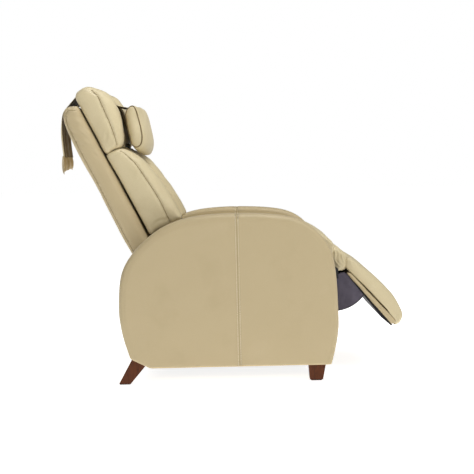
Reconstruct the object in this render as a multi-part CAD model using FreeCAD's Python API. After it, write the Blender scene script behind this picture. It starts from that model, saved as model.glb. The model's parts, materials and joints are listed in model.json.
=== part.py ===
import FreeCAD, Part
import math
import os
from FreeCAD import Vector

# Power massage recliner. Millimetres, +Z up, the sitter faces +X and +Y is the sitter's left.
# Side views are drawn as (x, z) from a seam in the middle of the arms, and save() moves every
# piece so that the origin is at the middle of the chair's footprint, on the floor.

DRAWING_CENTRE_X = -11.5     # middle of the chair's length in the side view

# Arms
ARM_OUTER_Y = 390.0
ARM_INNER_Y = 280.0
ARM_WALL = 22.0
ARM_EDGE_RADIUS = 17.0
ARM_OUTLINE = [(-410, 98), (-439, 191), (-449, 300), (-426, 443), (-323, 561), (-185, 622), (19, 635),
               (212, 615), (312, 549), (361, 448), (374, 259), (370, 167), (344, 61)]
ARM_REAR_UNDERSIDE = (-335, 61)
ARM_BOARD_THICKNESS = 18.0
ARM_BOARD_INSET = ARM_WALL + 12.0
ARM_HOLE_RADIUS = 90.0
ARM_HOLES = [(-190, 330), (120, 330)]
ARM_SPACER_RADIUS = 16.0
ARM_SPACERS = [(-330, 180), (270, 150), (-270, 500), (230, 520)]

# Feet: side outlines of their lower ends, and where their tops meet the arm's underside
FOOT_WIDTH = 46.0
FOOT_MIDDLE_Y = 345.0
FRONT_FOOT_BOTTOM_X = (263.0, 312.0)
FRONT_FOOT_TOP_X = (259.0, 323.0)
REAR_FOOT_BOTTOM_X = (-456.0, -411.0)
REAR_FOOT_TOP_X = (-405.0, -354.0)
GLIDE_THICKNESS = 4.0
GLIDE_HALF_WIDTH = 20.0

# Base
RAIL_HEIGHT = 40.0
RAIL_BOTTOM = 72.0
RAIL_DEPTH = 40.0
FRONT_RAIL_X = 270.0
REAR_RAIL_X = -380.0
TRAY_THICKNESS = 6.0
PANEL_THICKNESS = 12.0
PANEL_BOTTOM = 75.0
FRONT_PANEL_X = 318.0
FRONT_PANEL_TOP = 232.0
REAR_PANEL_X = -390.0
REAR_PANEL_TOP = 325.0
SIDE_PLATE_THICKNESS = 4.0
SIDE_PLATE_Y = ARM_INNER_Y - SIDE_PLATE_THICKNESS
SIDE_PLATE_OUTLINE = [(-192, 395), (-192, 478), (290, 478), (384, 412), (384, 374), (250, 374)]
LEDGE_WIDTH = 20.0
LEDGE_X = (-115.0, 285.0)
POWER_BOX_X = (-260.0, -60.0)
POWER_BOX_Y = (-210.0, -40.0)
POWER_BOX_HEIGHT = 70.0

# Mains inlet
INLET_Y = -200.0
INLET_Z = 150.0
INLET_BODY_HALF = (15.0, 11.0)     # half width and half height
INLET_RECESS_HALF = (12.0, 8.0)
BLADES = [(-7, -2), (0, 2), (7, -2)]
BLADE_HALF = (1.0, 2.0)

# Seat
SEAT_SLOPE = math.radians(13.0)
SEAT_REAR = (-118.0, 495.0)
SEAT_FOAM = 100.0
SEAT_DECK = 12.0
SEAT_HALF_WIDTH = 272.0
SEAT_CREST_X = 262.0
SEAT_FRONT = [(300, 566), (361, 506), (361, 462), (334, 462)]
SEAT_DECK_FRONT_X = 330.0
KNEE_ROLL_RADII = (34.0, 62.0)
KNEE_ROLL_ANGLES = (54.0, 100.0)

# Push buttons on the inner face of the right arm
PANEL_X = (60.0, 200.0)
PANEL_Z = (568.0, 606.0)
PANEL_FACE_Y = -272.0
BUTTON_X = (85.0, 130.0, 175.0)
BUTTON_RADIUS = 9.0
BUTTON_GAP = 0.2
BUTTON_PROUD = 4.0
BUTTON_TRAVEL = 1.5

# Back: (x, z) of its hinge, how far it leans, and depths measured forwards from the hinge
BACK_HINGE = (-160.0, 450.0)
BACK_LEAN = 27.0
SHELL_REAR = -197.0
SHELL_FRONT = -116.0
SHELL_BOTTOM = 100.0
SHELL_TOP = 750.0
SHELL_HALF_WIDTH = 268.0
SHELL_WALL = 5.0
SHELL_TOP_WALL = 20.0
SHELL_TOP_RADIUS = 45.0
CUSHION_HALF_WIDTH = 255.0
CHANNEL_HALF_WIDTH = 118.0
CENTRE_PAD_REAR = -34.0
CENTRE_PAD_FRONT = -20.0
BRACKET_INNER_Y = 262.0
BRACKET_THICKNESS = 6.0
BRACKET_OUTLINE = [(-170, 40), (-170, 96), (-120, 96), (14, 14), (14, -14), (-20, -18)]
UPRIGHT_DEPTH = -150.0
UPRIGHT_HALF = (15.0, 10.0)        # half depth and half width
UPRIGHT_Y = BRACKET_INNER_Y - UPRIGHT_HALF[1]
UPRIGHT_HEIGHTS = (45.0, 715.0)
CROSS_TUBE_HEIGHTS = (150.0, 690.0)
CROSS_TUBE = 20.0
LEVER_TUBE_HEIGHT = 50.0

# Back upholstery: (forward, up) outlines of the side bolsters, and (low, high) of the thin pads
HEAD_OUTLINE = [(-112, 530), (-50, 530), (-25, 545), (-3, 587), (14, 640), (16, 694), (8, 732), (-22, 765),
                (-62, 784), (-100, 774), (-112, 757)]
BACK_OUTLINE = [(-112, 175), (26, 175), (29, 265), (21, 358), (3, 444), (-28, 496), (-70, 522), (-112, 518)]
BACK_PAD = (175.0, 522.0)
HEAD_PAD = (530.0, 764.0)
LOWER_PAD = (34.0, 172.0)
LOWER_PAD_FRONT = 12.0

# Massage carriage, on two guide rods and a lead screw
ROD_DEPTH = -86.0
ROD_Y = 106.0
ROD_RADIUS = 6.0
SCREW_RADIUS = 7.0
CARRIAGE_HEIGHT = 440.0
CARRIAGE_HALF_DEPTH = 12.0
CARRIAGE_HALF_WIDTH = 114.0
CARRIAGE_HALF_HEIGHT = 40.0
ROLLER_RADIUS = 28.0
ROLLER_WIDTH = 18.0
ROLLER_DEPTH = -66.0
ROLLER_REACH = 75.0
ROLLER_ARM_Y = 56.0
ROLLER_ARM_HALF = 6.0
ROLLER_GAP = 8.0
ROLLER_AXLE_RADIUS = 5.0
KNEAD_PIVOT_RADIUS = 6.0
LIFT_MOTOR_RADIUS = 24.0
LIFT_MOTOR_HEIGHT = 64.0
SCREW_INSERT = 22.0                # how far the screw reaches into its motor
RAIL_BLOCK_HEIGHTS = (120.0, 722.0)
RAIL_BLOCK = 23.0

# Leg rest: (x, z) of its hinge and its slope
LEG_HINGE = (367.0, 391.0)
LEG_SLOPE = 45.0
LEG_TUBE_RADIUS = 16.0
LEG_HALF_WIDTH = 262.0
BOARD_UNDERSIDE = ((30.0, 37.5), (306.0, 14.0))
BOARD_TOP = ((62.0, 49.5), (306.0, 37.0))
BOARD_HALF_WIDTH = LEG_HALF_WIDTH - 4.0
LEG_CUSHION_OUTLINE = [(62, 50.3), (44, 52), (-8, 80), (28, 92), (134, 98), (229, 94), (300, 85), (344, 74),
                       (357, 60), (348, 48), (306, 37.8)]
LEG_ARM_OUTLINE = [(-10, 10), (30, 37.5), (250, 18.77), (250, 8), (170, 22), (110, 21.5), (60, 10), (6, -14)]
LEG_ARM_Y = 200.0
LEG_ARM_THICKNESS = 6.0
SHROUD_RADIUS = 145.0
SHROUD_WALL = 3.0
SHROUD_HALF_WIDTH = 250.0
SHROUD_ANGLES = (-88.0, -37.0)
SHROUD_CHEEK_RADIUS = 22.0

# Linear actuators: lever length, lever pin and slot
RECLINE_LEVER = 110.0
RECLINE_LEVER_REST = 9.0     # how far behind straight down the lever stands at rest, in degrees
LEG_LEVER = 75.0
LEVER_PIN_RADIUS = 8.0
ACTUATOR_Y = 70.0
ACTUATOR_ROD_RADIUS = 10.0
ACTUATOR_HALF = 28.0
RECLINE_ROD_Z = 343.6
LEG_ROD_Z = 324.8
FORK_GAP = 14.0                    # from the actuator's middle to each cheek
FORK_CHEEK = 6.0
FORK_HALF_WIDTH = 14.0
YOKE_WALL = 8.0
YOKE_HALF_WIDTH = 12.0

# Hinge pins: radii, and how far in they reach
BACK_PIN_RADIUS = 10.0
LEG_PIN_RADIUS = 8.0
BACK_PIN_END_Y = 257.0
LEG_PIN_END_Y = 226.0

RUNNING_CLEARANCE = 0.05

# Neck pillow, measured along the back and forwards from its hinge
PILLOW_CENTRE = (576.0, 44.0)
PILLOW_HALF_HEIGHT = 90.0
PILLOW_HALF_DEPTH = 38.0
PILLOW_TILT = 18.0
PILLOW_HALF_WIDTH = 175.0

# Weighted strap of the neck pillow: over the head as (forward, up), then hanging straight down
FLAP_HALF_WIDTH = 125.0
FLAP_THICKNESS = 4.0
FLAP_ON_BACK = [(70, 668), (30, 705), (18, 742), (-20, 776), (-64, 792), (-110, 785), (-170, 768),
                (-206, 742)]
FLAP_HANG_X = -680.0
FLAP_BEND_Z = 955.0
FLAP_HEM = (868.0, 796.0)
FLAP_HEM_HALF = 7.0

Y_AXIS = Vector(0, 1, 0)


# ---------- helpers ----------

def save(node, shape):
    """Write one node, moved to the chair's own origin."""
    placed = shape.copy()
    placed.translate(Vector(-DRAWING_CENTRE_X, 0, 0))
    placed.exportStep("parts/" + node + ".step")


def slab(outline, y_low, y_high):
    """A flat plate with straight edges: (x, z) points, from y_low to y_high."""
    points = [Vector(x, y_low, z) for x, z in outline]
    face = Part.Face(Part.makePolygon(points + points[:1]))
    return face.extrude(Vector(0, y_high - y_low, 0))


def block(x_range, y_range, z_range):
    """A box between the given limits."""
    size = [high - low for low, high in (x_range, y_range, z_range)]
    return Part.makeBox(size[0], size[1], size[2], Vector(x_range[0], y_range[0], z_range[0]))


def rod(radius, start, end):
    """A round bar from start to end."""
    along = Vector(*end) - Vector(*start)
    return Part.makeCylinder(radius, along.Length, Vector(*start), along)


def union(shapes):
    """Join shapes that meet into one solid."""
    joined = shapes[0]
    for shape in shapes[1:]:
        joined = joined.fuse(shape)
    return joined.removeSplitter()


def group(shapes):
    """Keep separate solids together in one node."""
    return Part.makeCompound(shapes)


def on_back(shape):
    """Move a shape drawn with x forwards and z up the back to its place on the leaning back."""
    placed = shape.copy()
    placed.rotate(Vector(0, 0, 0), Y_AXIS, -BACK_LEAN)
    placed.translate(Vector(BACK_HINGE[0], 0, BACK_HINGE[1]))
    return placed


def on_leg(shape):
    """Move a shape drawn with x down the slope and z square to it to its place on the leg rest."""
    placed = shape.copy()
    placed.rotate(Vector(0, 0, 0), Y_AXIS, LEG_SLOPE)
    placed.translate(Vector(LEG_HINGE[0], 0, LEG_HINGE[1]))
    return placed


def sector(inner, outer, angle_low, angle_high, y_low, y_high):
    """A ring segment about the Y axis, angles in degrees from +X towards +Z."""
    def at(radius, angle):
        turn = math.radians(angle)
        return Vector(radius * math.cos(turn), y_low, radius * math.sin(turn))
    middle = (angle_low + angle_high) / 2
    edges = [Part.Arc(at(outer, angle_low), at(outer, middle), at(outer, angle_high)).toShape(),
             Part.LineSegment(at(outer, angle_high), at(inner, angle_high)).toShape(),
             Part.Arc(at(inner, angle_high), at(inner, middle), at(inner, angle_low)).toShape(),
             Part.LineSegment(at(inner, angle_low), at(outer, angle_low)).toShape()]
    return Part.Face(Part.Wire(edges)).extrude(Vector(0, y_high - y_low, 0))


def mirrored(shape):
    """The same shape on the sitter's left side."""
    return shape.mirror(Vector(0, 0, 0), Y_AXIS)


def save_pair(node, shape):
    """Save a right-hand shape and its mirror image."""
    save(node + "_right", shape)
    save(node + "_left", mirrored(shape))


def seat_height(x, depth):
    """Height of the sloping seat at x, at a depth under its top surface."""
    return SEAT_REAR[1] + (x - SEAT_REAR[0]) * math.tan(SEAT_SLOPE) - depth / math.cos(SEAT_SLOPE)


# ---------- base ----------

def arm_face(inset):
    """The arm's side outline as a face at y = 0, drawn in by inset."""
    outside = Part.BSplineCurve()
    outside.interpolate([Vector(x, 0, z) for x, z in ARM_OUTLINE])
    points = []
    for x, z in ARM_OUTLINE:
        tangent = outside.tangent(outside.parameter(Vector(x, 0, z)))[0]
        points.append(Vector(x + tangent.z * inset, 0, z - tangent.x * inset))
    front_x, rear_x = points[-1].x, ARM_REAR_UNDERSIDE[0] + inset / 2
    bottom = ARM_REAR_UNDERSIDE[1] + inset
    points[-1] = Vector(front_x, 0, bottom)
    points[0] = points[0] + Vector(0, 0, inset / 2)
    curve = Part.BSplineCurve()
    curve.interpolate(points)
    under = Vector(rear_x, 0, bottom)
    edges = [curve.toShape(), Part.LineSegment(points[-1], under).toShape(),
             Part.LineSegment(under, points[0]).toShape()]
    return Part.Face(Part.Wire(edges))


def arm_slice(inset, y_low, y_high):
    """The arm's outline, drawn in by inset, as a plate from y_low to y_high."""
    face = arm_face(inset)
    face.translate(Vector(0, y_low, 0))
    return face.extrude(Vector(0, y_high - y_low, 0))


def arm_cover():
    """Padded arm cover: a closed hollow with rounded edges."""
    outside = arm_slice(0, -ARM_OUTER_Y, -ARM_INNER_Y)
    rim = [edge for face in outside.Faces if abs(face.normalAt(0, 0).y) > 0.99 for edge in face.Edges]
    outside = outside.makeFillet(ARM_EDGE_RADIUS, rim)
    return outside.cut(arm_slice(ARM_WALL, -ARM_OUTER_Y + ARM_WALL, -ARM_INNER_Y - ARM_WALL))


def arm_frame():
    """Plywood board inside the arm, with two lightening holes and four round spacers."""
    middle = -(ARM_OUTER_Y + ARM_INNER_Y) / 2
    half = ARM_BOARD_THICKNESS / 2
    reach = (ARM_OUTER_Y - ARM_INNER_Y) / 2 - ARM_WALL
    board = arm_slice(ARM_BOARD_INSET, middle - half, middle + half)
    for x, z in ARM_HOLES:
        board = board.cut(rod(ARM_HOLE_RADIUS, (x, middle - half, z), (x, middle + half, z)))
    spacers = [rod(ARM_SPACER_RADIUS, (x, middle - reach, z), (x, middle + reach, z)) for x, z in ARM_SPACERS]
    return union([board] + spacers)


def side_plate():
    """Steel plate on the arm's inner face: seat ledge and both hinge holes."""
    plate = slab(SIDE_PLATE_OUTLINE, -ARM_INNER_Y, -SIDE_PLATE_Y)
    top = SEAT_FOAM + SEAT_DECK
    bottom = top + LEDGE_WIDTH
    low, high = LEDGE_X
    ledge = slab([(low, seat_height(low, top)), (low, seat_height(low, bottom)),
                  (high, seat_height(high, bottom)), (high, seat_height(high, top))],
                 -SIDE_PLATE_Y, -SIDE_PLATE_Y + LEDGE_WIDTH)
    plate = union([plate, ledge])
    for (x, z), radius in ((BACK_HINGE, BACK_PIN_RADIUS), (LEG_HINGE, LEG_PIN_RADIUS)):
        plate = plate.cut(rod(radius, (x, -ARM_INNER_Y - 1, z), (x, -SIDE_PLATE_Y + 1, z)))
    return plate


def hinge_pins():
    """Two pins for the back and two for the leg rest, held in the side plates."""
    pins = []
    for side in (-1, 1):
        for (x, z), radius, end in ((BACK_HINGE, BACK_PIN_RADIUS, BACK_PIN_END_Y),
                                    (LEG_HINGE, LEG_PIN_RADIUS, LEG_PIN_END_Y)):
            pins.append(rod(radius, (x, side * ARM_INNER_Y, z), (x, side * end, z)))
    return group(pins)


def feet():
    """Front foot, tapered, and rear foot, splayed backwards; their tops meet the arm's underside."""
    near, far = -FOOT_MIDDLE_Y - FOOT_WIDTH / 2, -FOOT_MIDDLE_Y + FOOT_WIDTH / 2
    low_x, high_x = FRONT_FOOT_BOTTOM_X
    flat = ARM_REAR_UNDERSIDE[1]
    front = slab([(low_x, GLIDE_THICKNESS), (high_x, GLIDE_THICKNESS),
                  (FRONT_FOOT_TOP_X[1], flat), (FRONT_FOOT_TOP_X[0], flat)], near, far)
    rise = (ARM_OUTLINE[0][1] - flat) / (ARM_OUTLINE[0][0] - ARM_REAR_UNDERSIDE[0])
    top = [(x, flat + (x - ARM_REAR_UNDERSIDE[0]) * rise) for x in REAR_FOOT_TOP_X[::-1]]
    low_x, high_x = REAR_FOOT_BOTTOM_X
    rear = slab([(low_x, GLIDE_THICKNESS), (high_x, GLIDE_THICKNESS)] + top, near, far)
    return front, rear


def foot_glides():
    """Hard pads under the feet, which meet the floor."""
    half = GLIDE_HALF_WIDTH
    pads = []
    for bottom in (FRONT_FOOT_BOTTOM_X, REAR_FOOT_BOTTOM_X):
        x = sum(bottom) / 2
        for y in (-FOOT_MIDDLE_Y, FOOT_MIDDLE_Y):
            pads.append(block((x - half, x + half), (y - half, y + half), (0, GLIDE_THICKNESS)))
    return group(pads)


def inlet_block(x_range, half, y=0, z=0):
    """A block in the inlet, at a place measured from the inlet's middle."""
    middle_y, middle_z = INLET_Y + y, INLET_Z + z
    return block(x_range, (middle_y - half[0], middle_y + half[0]), (middle_z - half[1], middle_z + half[1]))


def mains_inlet():
    """Appliance inlet in the rear panel, with a recess and three blades."""
    rear_x = REAR_PANEL_X - PANEL_THICKNESS
    body = inlet_block((rear_x - 2, rear_x + 26), INLET_BODY_HALF)
    recess = inlet_block((rear_x - 3, rear_x + 16), INLET_RECESS_HALF)
    blades = [inlet_block((rear_x + 7, rear_x + 17), BLADE_HALF, y, z) for y, z in BLADES]
    return union([body.cut(recess)] + blades)


def rear_panel():
    """Upholstered board between the arms at the back, with a cut-out for the inlet."""
    panel = block((REAR_PANEL_X - PANEL_THICKNESS, REAR_PANEL_X), (-ARM_INNER_Y, ARM_INNER_Y),
                  (PANEL_BOTTOM, REAR_PANEL_TOP))
    return panel.cut(inlet_block((REAR_PANEL_X - 20, REAR_PANEL_X + 5), INLET_BODY_HALF))


def actuator(rod_height, x_range, bore_from, y):
    """Motor housing hung from the seat deck, bored for its rod."""
    half = ACTUATOR_HALF
    body = block(x_range, (y - half, y + half), (rod_height - half, rod_height + half))
    low, high = x_range[0] + 90, x_range[0] + 150
    depth = SEAT_FOAM + SEAT_DECK
    hanger = slab([(low, rod_height + half), (high, rod_height + half),
                   (high, seat_height(high, depth)), (low, seat_height(low, depth))], y - 15, y + 15)
    bore = rod(ACTUATOR_ROD_RADIUS + RUNNING_CLEARANCE, (bore_from[0], y, rod_height),
               (bore_from[1], y, rod_height))
    return union([body, hanger]).cut(bore)


def actuator_rod(pin, rod_height, rod_range, y, slot_half_width, slot_half_height):
    """Actuator rod with a yoke whose upright slot takes the lever's pin."""
    half_width, half_height = slot_half_width + YOKE_WALL, slot_half_height + YOKE_WALL
    yoke = block((pin - half_width, pin + half_width), (y - YOKE_HALF_WIDTH, y + YOKE_HALF_WIDTH),
                 (rod_height - half_height, rod_height + half_height))
    slot = block((pin - slot_half_width, pin + slot_half_width), (y - YOKE_HALF_WIDTH, y + YOKE_HALF_WIDTH),
                 (rod_height - slot_half_height, rod_height + slot_half_height))
    bar = rod(ACTUATOR_ROD_RADIUS, (rod_range[0], y, rod_height), (rod_range[1], y, rod_height))
    return union([yoke.cut(slot), bar])


def fork(root, start, pin_point, y, half_width):
    """A root shape with two lever cheeks from start to a cross pin, one each side of a yoke."""
    along = Vector(pin_point[0] - start[0], 0, pin_point[1] - start[1])
    square = Vector(-along.z, 0, along.x).normalize() * half_width
    corners = [(start[0] + square.x, start[1] + square.z), (start[0] - square.x, start[1] - square.z),
               (pin_point[0] - square.x, pin_point[1] - square.z),
               (pin_point[0] + square.x, pin_point[1] + square.z)]
    pin_x, pin_z = pin_point
    reach = FORK_GAP + FORK_CHEEK
    pieces = [root]
    for near in (y - reach, y + FORK_GAP):
        pieces.append(slab(corners, near, near + FORK_CHEEK))
        pieces.append(rod(half_width, (pin_x, near, pin_z), (pin_x, near + FORK_CHEEK, pin_z)))
    pieces.append(rod(LEVER_PIN_RADIUS, (pin_x, y - reach, pin_z), (pin_x, y + reach, pin_z)))
    return union(pieces)


def seat_cushion():
    """Seat foam: sloping top, rounded front edge that drops to the leg rest."""
    outline = [SEAT_REAR, (SEAT_CREST_X, seat_height(SEAT_CREST_X, 0))] + SEAT_FRONT
    outline += [(x, seat_height(x, SEAT_FOAM)) for x in (SEAT_FRONT[-1][0], SEAT_REAR[0])]
    return slab(outline, -SEAT_HALF_WIDTH, SEAT_HALF_WIDTH)


def seat_deck():
    """Plywood under the seat foam."""
    deep = SEAT_FOAM + SEAT_DECK
    low, high = SEAT_REAR[0], SEAT_DECK_FRONT_X
    outline = [(low, seat_height(low, SEAT_FOAM)), (high, seat_height(high, SEAT_FOAM)),
               (high, seat_height(high, deep)), (low, seat_height(low, deep))]
    return slab(outline, -SEAT_HALF_WIDTH, SEAT_HALF_WIDTH)


def knee_roll():
    """Soft roll of cover round the front of the leg hinge."""
    ring = sector(*KNEE_ROLL_RADII, *KNEE_ROLL_ANGLES, -CUSHION_HALF_WIDTH, CUSHION_HALF_WIDTH)
    ring.translate(Vector(LEG_HINGE[0], 0, LEG_HINGE[1]))
    return ring


# ---------- control panel ----------

def control_panel():
    """Push-button plate on the inner face of the right arm."""
    plate = block(PANEL_X, (-ARM_INNER_Y, PANEL_FACE_Y), PANEL_Z)
    middle = sum(PANEL_Z) / 2
    for x in BUTTON_X:
        hole = rod(BUTTON_RADIUS + BUTTON_GAP, (x, PANEL_FACE_Y + 1, middle), (x, -ARM_INNER_Y + 1, middle))
        plate = plate.cut(hole)
    return plate


def button(x):
    """A round push button that stands proud of its plate, with room behind it to be pressed."""
    middle = sum(PANEL_Z) / 2
    back = -ARM_INNER_Y + 1.3 + BUTTON_TRAVEL
    return rod(BUTTON_RADIUS, (x, PANEL_FACE_Y + BUTTON_PROUD, middle), (x, back, middle))


# ---------- back ----------

def centre_pad(low, high):
    """Thin pad over the massage channel."""
    reach = CHANNEL_HALF_WIDTH - 0.5
    return on_back(block((CENTRE_PAD_REAR, CENTRE_PAD_FRONT), (-reach, reach), (low, high)))


def back_shell():
    """Closed hard shell at the back, with holes in its lower end for the frame tubes."""
    half, wall = SHELL_HALF_WIDTH, SHELL_WALL
    outside = block((SHELL_REAR, SHELL_FRONT), (-half, half), (SHELL_BOTTOM, SHELL_TOP))
    top_rear = [edge for edge in outside.Edges
                if all(abs(v.X - SHELL_REAR) < 1 and abs(v.Z - SHELL_TOP) < 1 for v in edge.Vertexes)]
    outside = outside.makeFillet(SHELL_TOP_RADIUS, top_rear)
    inside = block((SHELL_REAR + wall, SHELL_FRONT - wall), (-half + wall, half - wall),
                   (SHELL_BOTTOM + wall, SHELL_TOP - SHELL_TOP_WALL))
    shell = outside.cut(inside)
    deep, wide = UPRIGHT_HALF[0] + 1, UPRIGHT_HALF[1] + 1
    for y in (-UPRIGHT_Y, UPRIGHT_Y):
        shell = shell.cut(block((UPRIGHT_DEPTH - deep, UPRIGHT_DEPTH + deep), (y - wide, y + wide),
                                (SHELL_BOTTOM - 1, SHELL_BOTTOM + wall + 1)))
    return on_back(shell)


def back_frame():
    """Two upright steel tubes and two cross tubes, inside the shell."""
    deep, wide = UPRIGHT_HALF
    tubes = [block((UPRIGHT_DEPTH - deep, UPRIGHT_DEPTH + deep), (y - wide, y + wide), UPRIGHT_HEIGHTS)
             for y in (-UPRIGHT_Y, UPRIGHT_Y)]
    tubes += [cross_tube(low, BRACKET_INNER_Y) for low in CROSS_TUBE_HEIGHTS]
    return on_back(union(tubes))


def cross_tube(low, reach):
    """A square tube across the back, before it is leaned."""
    half = CROSS_TUBE / 2
    return block((UPRIGHT_DEPTH - half, UPRIGHT_DEPTH + half), (-reach, reach), (low, low + CROSS_TUBE))


def back_bracket():
    """Plate from the frame's upright to the back hinge."""
    plate = slab(BRACKET_OUTLINE, -BRACKET_INNER_Y - BRACKET_THICKNESS, -BRACKET_INNER_Y)
    hole = rod(BACK_PIN_RADIUS + RUNNING_CLEARANCE, (0, -SIDE_PLATE_Y, 0), (0, -BRACKET_INNER_Y + 1, 0))
    return on_back(plate.cut(hole))


def recline_lever():
    """Cross tube at the foot of the back with a forked lever down to the recline actuator."""
    tube = on_back(cross_tube(LEVER_TUBE_HEIGHT, UPRIGHT_Y - UPRIGHT_HALF[1]))
    root = on_back(Part.Vertex(UPRIGHT_DEPTH, 0, LEVER_TUBE_HEIGHT + CROSS_TUBE / 2)).Point
    turn = math.radians(RECLINE_LEVER_REST)
    pin = (BACK_HINGE[0] - RECLINE_LEVER * math.sin(turn), BACK_HINGE[1] - RECLINE_LEVER * math.cos(turn))
    return fork(tube, (root.x, root.z), pin, -ACTUATOR_Y, FORK_HALF_WIDTH)


def rail_blocks():
    """Blocks that hold the ends of the guide rods and carry the lead screw."""
    half_width = CHANNEL_HALF_WIDTH - 4
    blocks = []
    for low in RAIL_BLOCK_HEIGHTS:
        high = low + RAIL_BLOCK
        piece = block((SHELL_FRONT, ROD_DEPTH + CARRIAGE_HALF_DEPTH), (-half_width, half_width), (low, high))
        for y, radius in ((-ROD_Y, ROD_RADIUS), (ROD_Y, ROD_RADIUS), (0, SCREW_RADIUS + RUNNING_CLEARANCE)):
            piece = piece.cut(rod(radius, (ROD_DEPTH, y, low - 1), (ROD_DEPTH, y, high + 1)))
        blocks.append(piece)
    return on_back(group(blocks))


def massage_carriage():
    """Carriage block with bores for the rods and screw, and two pivots for the roller arms."""
    low, high = CARRIAGE_HEIGHT - CARRIAGE_HALF_HEIGHT, CARRIAGE_HEIGHT + CARRIAGE_HALF_HEIGHT
    front = ROD_DEPTH + CARRIAGE_HALF_DEPTH
    body = block((ROD_DEPTH - CARRIAGE_HALF_DEPTH, front),
                 (-CARRIAGE_HALF_WIDTH, CARRIAGE_HALF_WIDTH), (low, high))
    for y, radius in ((-ROD_Y, ROD_RADIUS), (ROD_Y, ROD_RADIUS), (0, SCREW_RADIUS)):
        body = body.cut(rod(radius + RUNNING_CLEARANCE, (ROD_DEPTH, y, low - 1), (ROD_DEPTH, y, high + 1)))
    pivots = [rod(KNEAD_PIVOT_RADIUS, (front, y, CARRIAGE_HEIGHT), (ROLLER_DEPTH + 8, y, CARRIAGE_HEIGHT))
              for y in (-ROLLER_ARM_Y, ROLLER_ARM_Y)]
    return on_back(union([body] + pivots))


def roller_arm():
    """Rocking arm with a pivot hole in the middle and an axle at each end."""
    y, half = -ROLLER_ARM_Y, ROLLER_ARM_HALF
    low, high = ROLLER_DEPTH - half, ROLLER_DEPTH + half
    reach = ROLLER_REACH + 10
    arm = block((low, high), (y - half, y + half), (CARRIAGE_HEIGHT - reach, CARRIAGE_HEIGHT + reach))
    hub = rod(KNEAD_PIVOT_RADIUS + 5, (low, y, CARRIAGE_HEIGHT), (high, y, CARRIAGE_HEIGHT))
    hole = rod(KNEAD_PIVOT_RADIUS + RUNNING_CLEARANCE, (low - 1, y, CARRIAGE_HEIGHT),
               (high + 1, y, CARRIAGE_HEIGHT))
    axle_end = y - ROLLER_GAP - ROLLER_WIDTH - 2
    axles = []
    for height in (CARRIAGE_HEIGHT - ROLLER_REACH, CARRIAGE_HEIGHT + ROLLER_REACH):
        axles.append(rod(ROLLER_AXLE_RADIUS, (ROLLER_DEPTH, y, height), (ROLLER_DEPTH, axle_end, height)))
    return on_back(union([arm, hub] + axles).cut(hole))


def roller(end):
    """Massage roller on the upper (1) or lower (-1) axle of the right arm."""
    height = CARRIAGE_HEIGHT + end * ROLLER_REACH
    inner_y = -ROLLER_ARM_Y - ROLLER_GAP
    outer_y = inner_y - ROLLER_WIDTH
    wheel = rod(ROLLER_RADIUS, (ROLLER_DEPTH, outer_y, height), (ROLLER_DEPTH, inner_y, height))
    wheel = wheel.makeFillet(6, [edge for edge in wheel.Edges if edge.Length > 2 * ROLLER_RADIUS * 3])
    bore = rod(ROLLER_AXLE_RADIUS + RUNNING_CLEARANCE, (ROLLER_DEPTH, outer_y - 1, height),
               (ROLLER_DEPTH, inner_y + 1, height))
    return on_back(wheel.cut(bore))


# ---------- leg rest ----------

def leg_frame():
    """Hinge tube, two arms under the board, and the forked lever of the leg actuator."""
    hinge_x, hinge_z = LEG_HINGE
    tube = rod(LEG_TUBE_RADIUS, (0, -LEG_HALF_WIDTH, 0), (0, LEG_HALF_WIDTH, 0))
    arms = [slab(LEG_ARM_OUTLINE, y, y + LEG_ARM_THICKNESS)
            for y in (-LEG_ARM_Y - LEG_ARM_THICKNESS, LEG_ARM_Y)]
    frame = on_leg(union([tube] + arms))
    frame = fork(frame, LEG_HINGE, (hinge_x, hinge_z - LEG_LEVER), ACTUATOR_Y, FORK_HALF_WIDTH)
    for side in (-1, 1):
        hole = rod(LEG_PIN_RADIUS + RUNNING_CLEARANCE, (hinge_x, side * ARM_INNER_Y, hinge_z),
                   (hinge_x, side * (LEG_PIN_END_Y - 2), hinge_z))
        frame = frame.cut(hole)
    return frame


def leg_board():
    """Upholstered board under the calf cushion."""
    outline = [BOARD_UNDERSIDE[0], BOARD_UNDERSIDE[1], BOARD_TOP[1], BOARD_TOP[0], (44, 48)]
    return on_leg(slab(outline, -BOARD_HALF_WIDTH, BOARD_HALF_WIDTH))


def leg_cushion():
    """Calf cushion on the board, with a rounded lower end."""
    return on_leg(slab(LEG_CUSHION_OUTLINE, -LEG_HALF_WIDTH, LEG_HALF_WIDTH))


def leg_shroud():
    """Dark drum-shaped cover under the board: a curved skin with a cheek at each end."""
    inner, reach = SHROUD_RADIUS - SHROUD_WALL, SHROUD_HALF_WIDTH
    skin = sector(inner, SHROUD_RADIUS, *SHROUD_ANGLES, -reach, reach)
    cheeks = [sector(SHROUD_CHEEK_RADIUS, inner, *SHROUD_ANGLES, y, y + SHROUD_WALL)
              for y in (-reach, reach - SHROUD_WALL)]
    shroud = union([skin] + cheeks)
    shroud.translate(Vector(LEG_HINGE[0], 0, LEG_HINGE[1]))
    return shroud


# ---------- neck pillow ----------

def neck_pillow():
    """Oval roll, thicker along its height than its depth, tilted towards upright."""
    ellipse = Part.Ellipse(Vector(0, 0, 0), PILLOW_HALF_HEIGHT, PILLOW_HALF_DEPTH).toShape()
    face = Part.Face(Part.Wire([ellipse]))
    face.rotate(Vector(0, 0, 0), Vector(1, 0, 0), 90)
    face.rotate(Vector(0, 0, 0), Y_AXIS, -90 + PILLOW_TILT)
    face.translate(Vector(PILLOW_CENTRE[1], -PILLOW_HALF_WIDTH, PILLOW_CENTRE[0]))
    return on_back(face.extrude(Vector(0, 2 * PILLOW_HALF_WIDTH, 0)))


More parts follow.
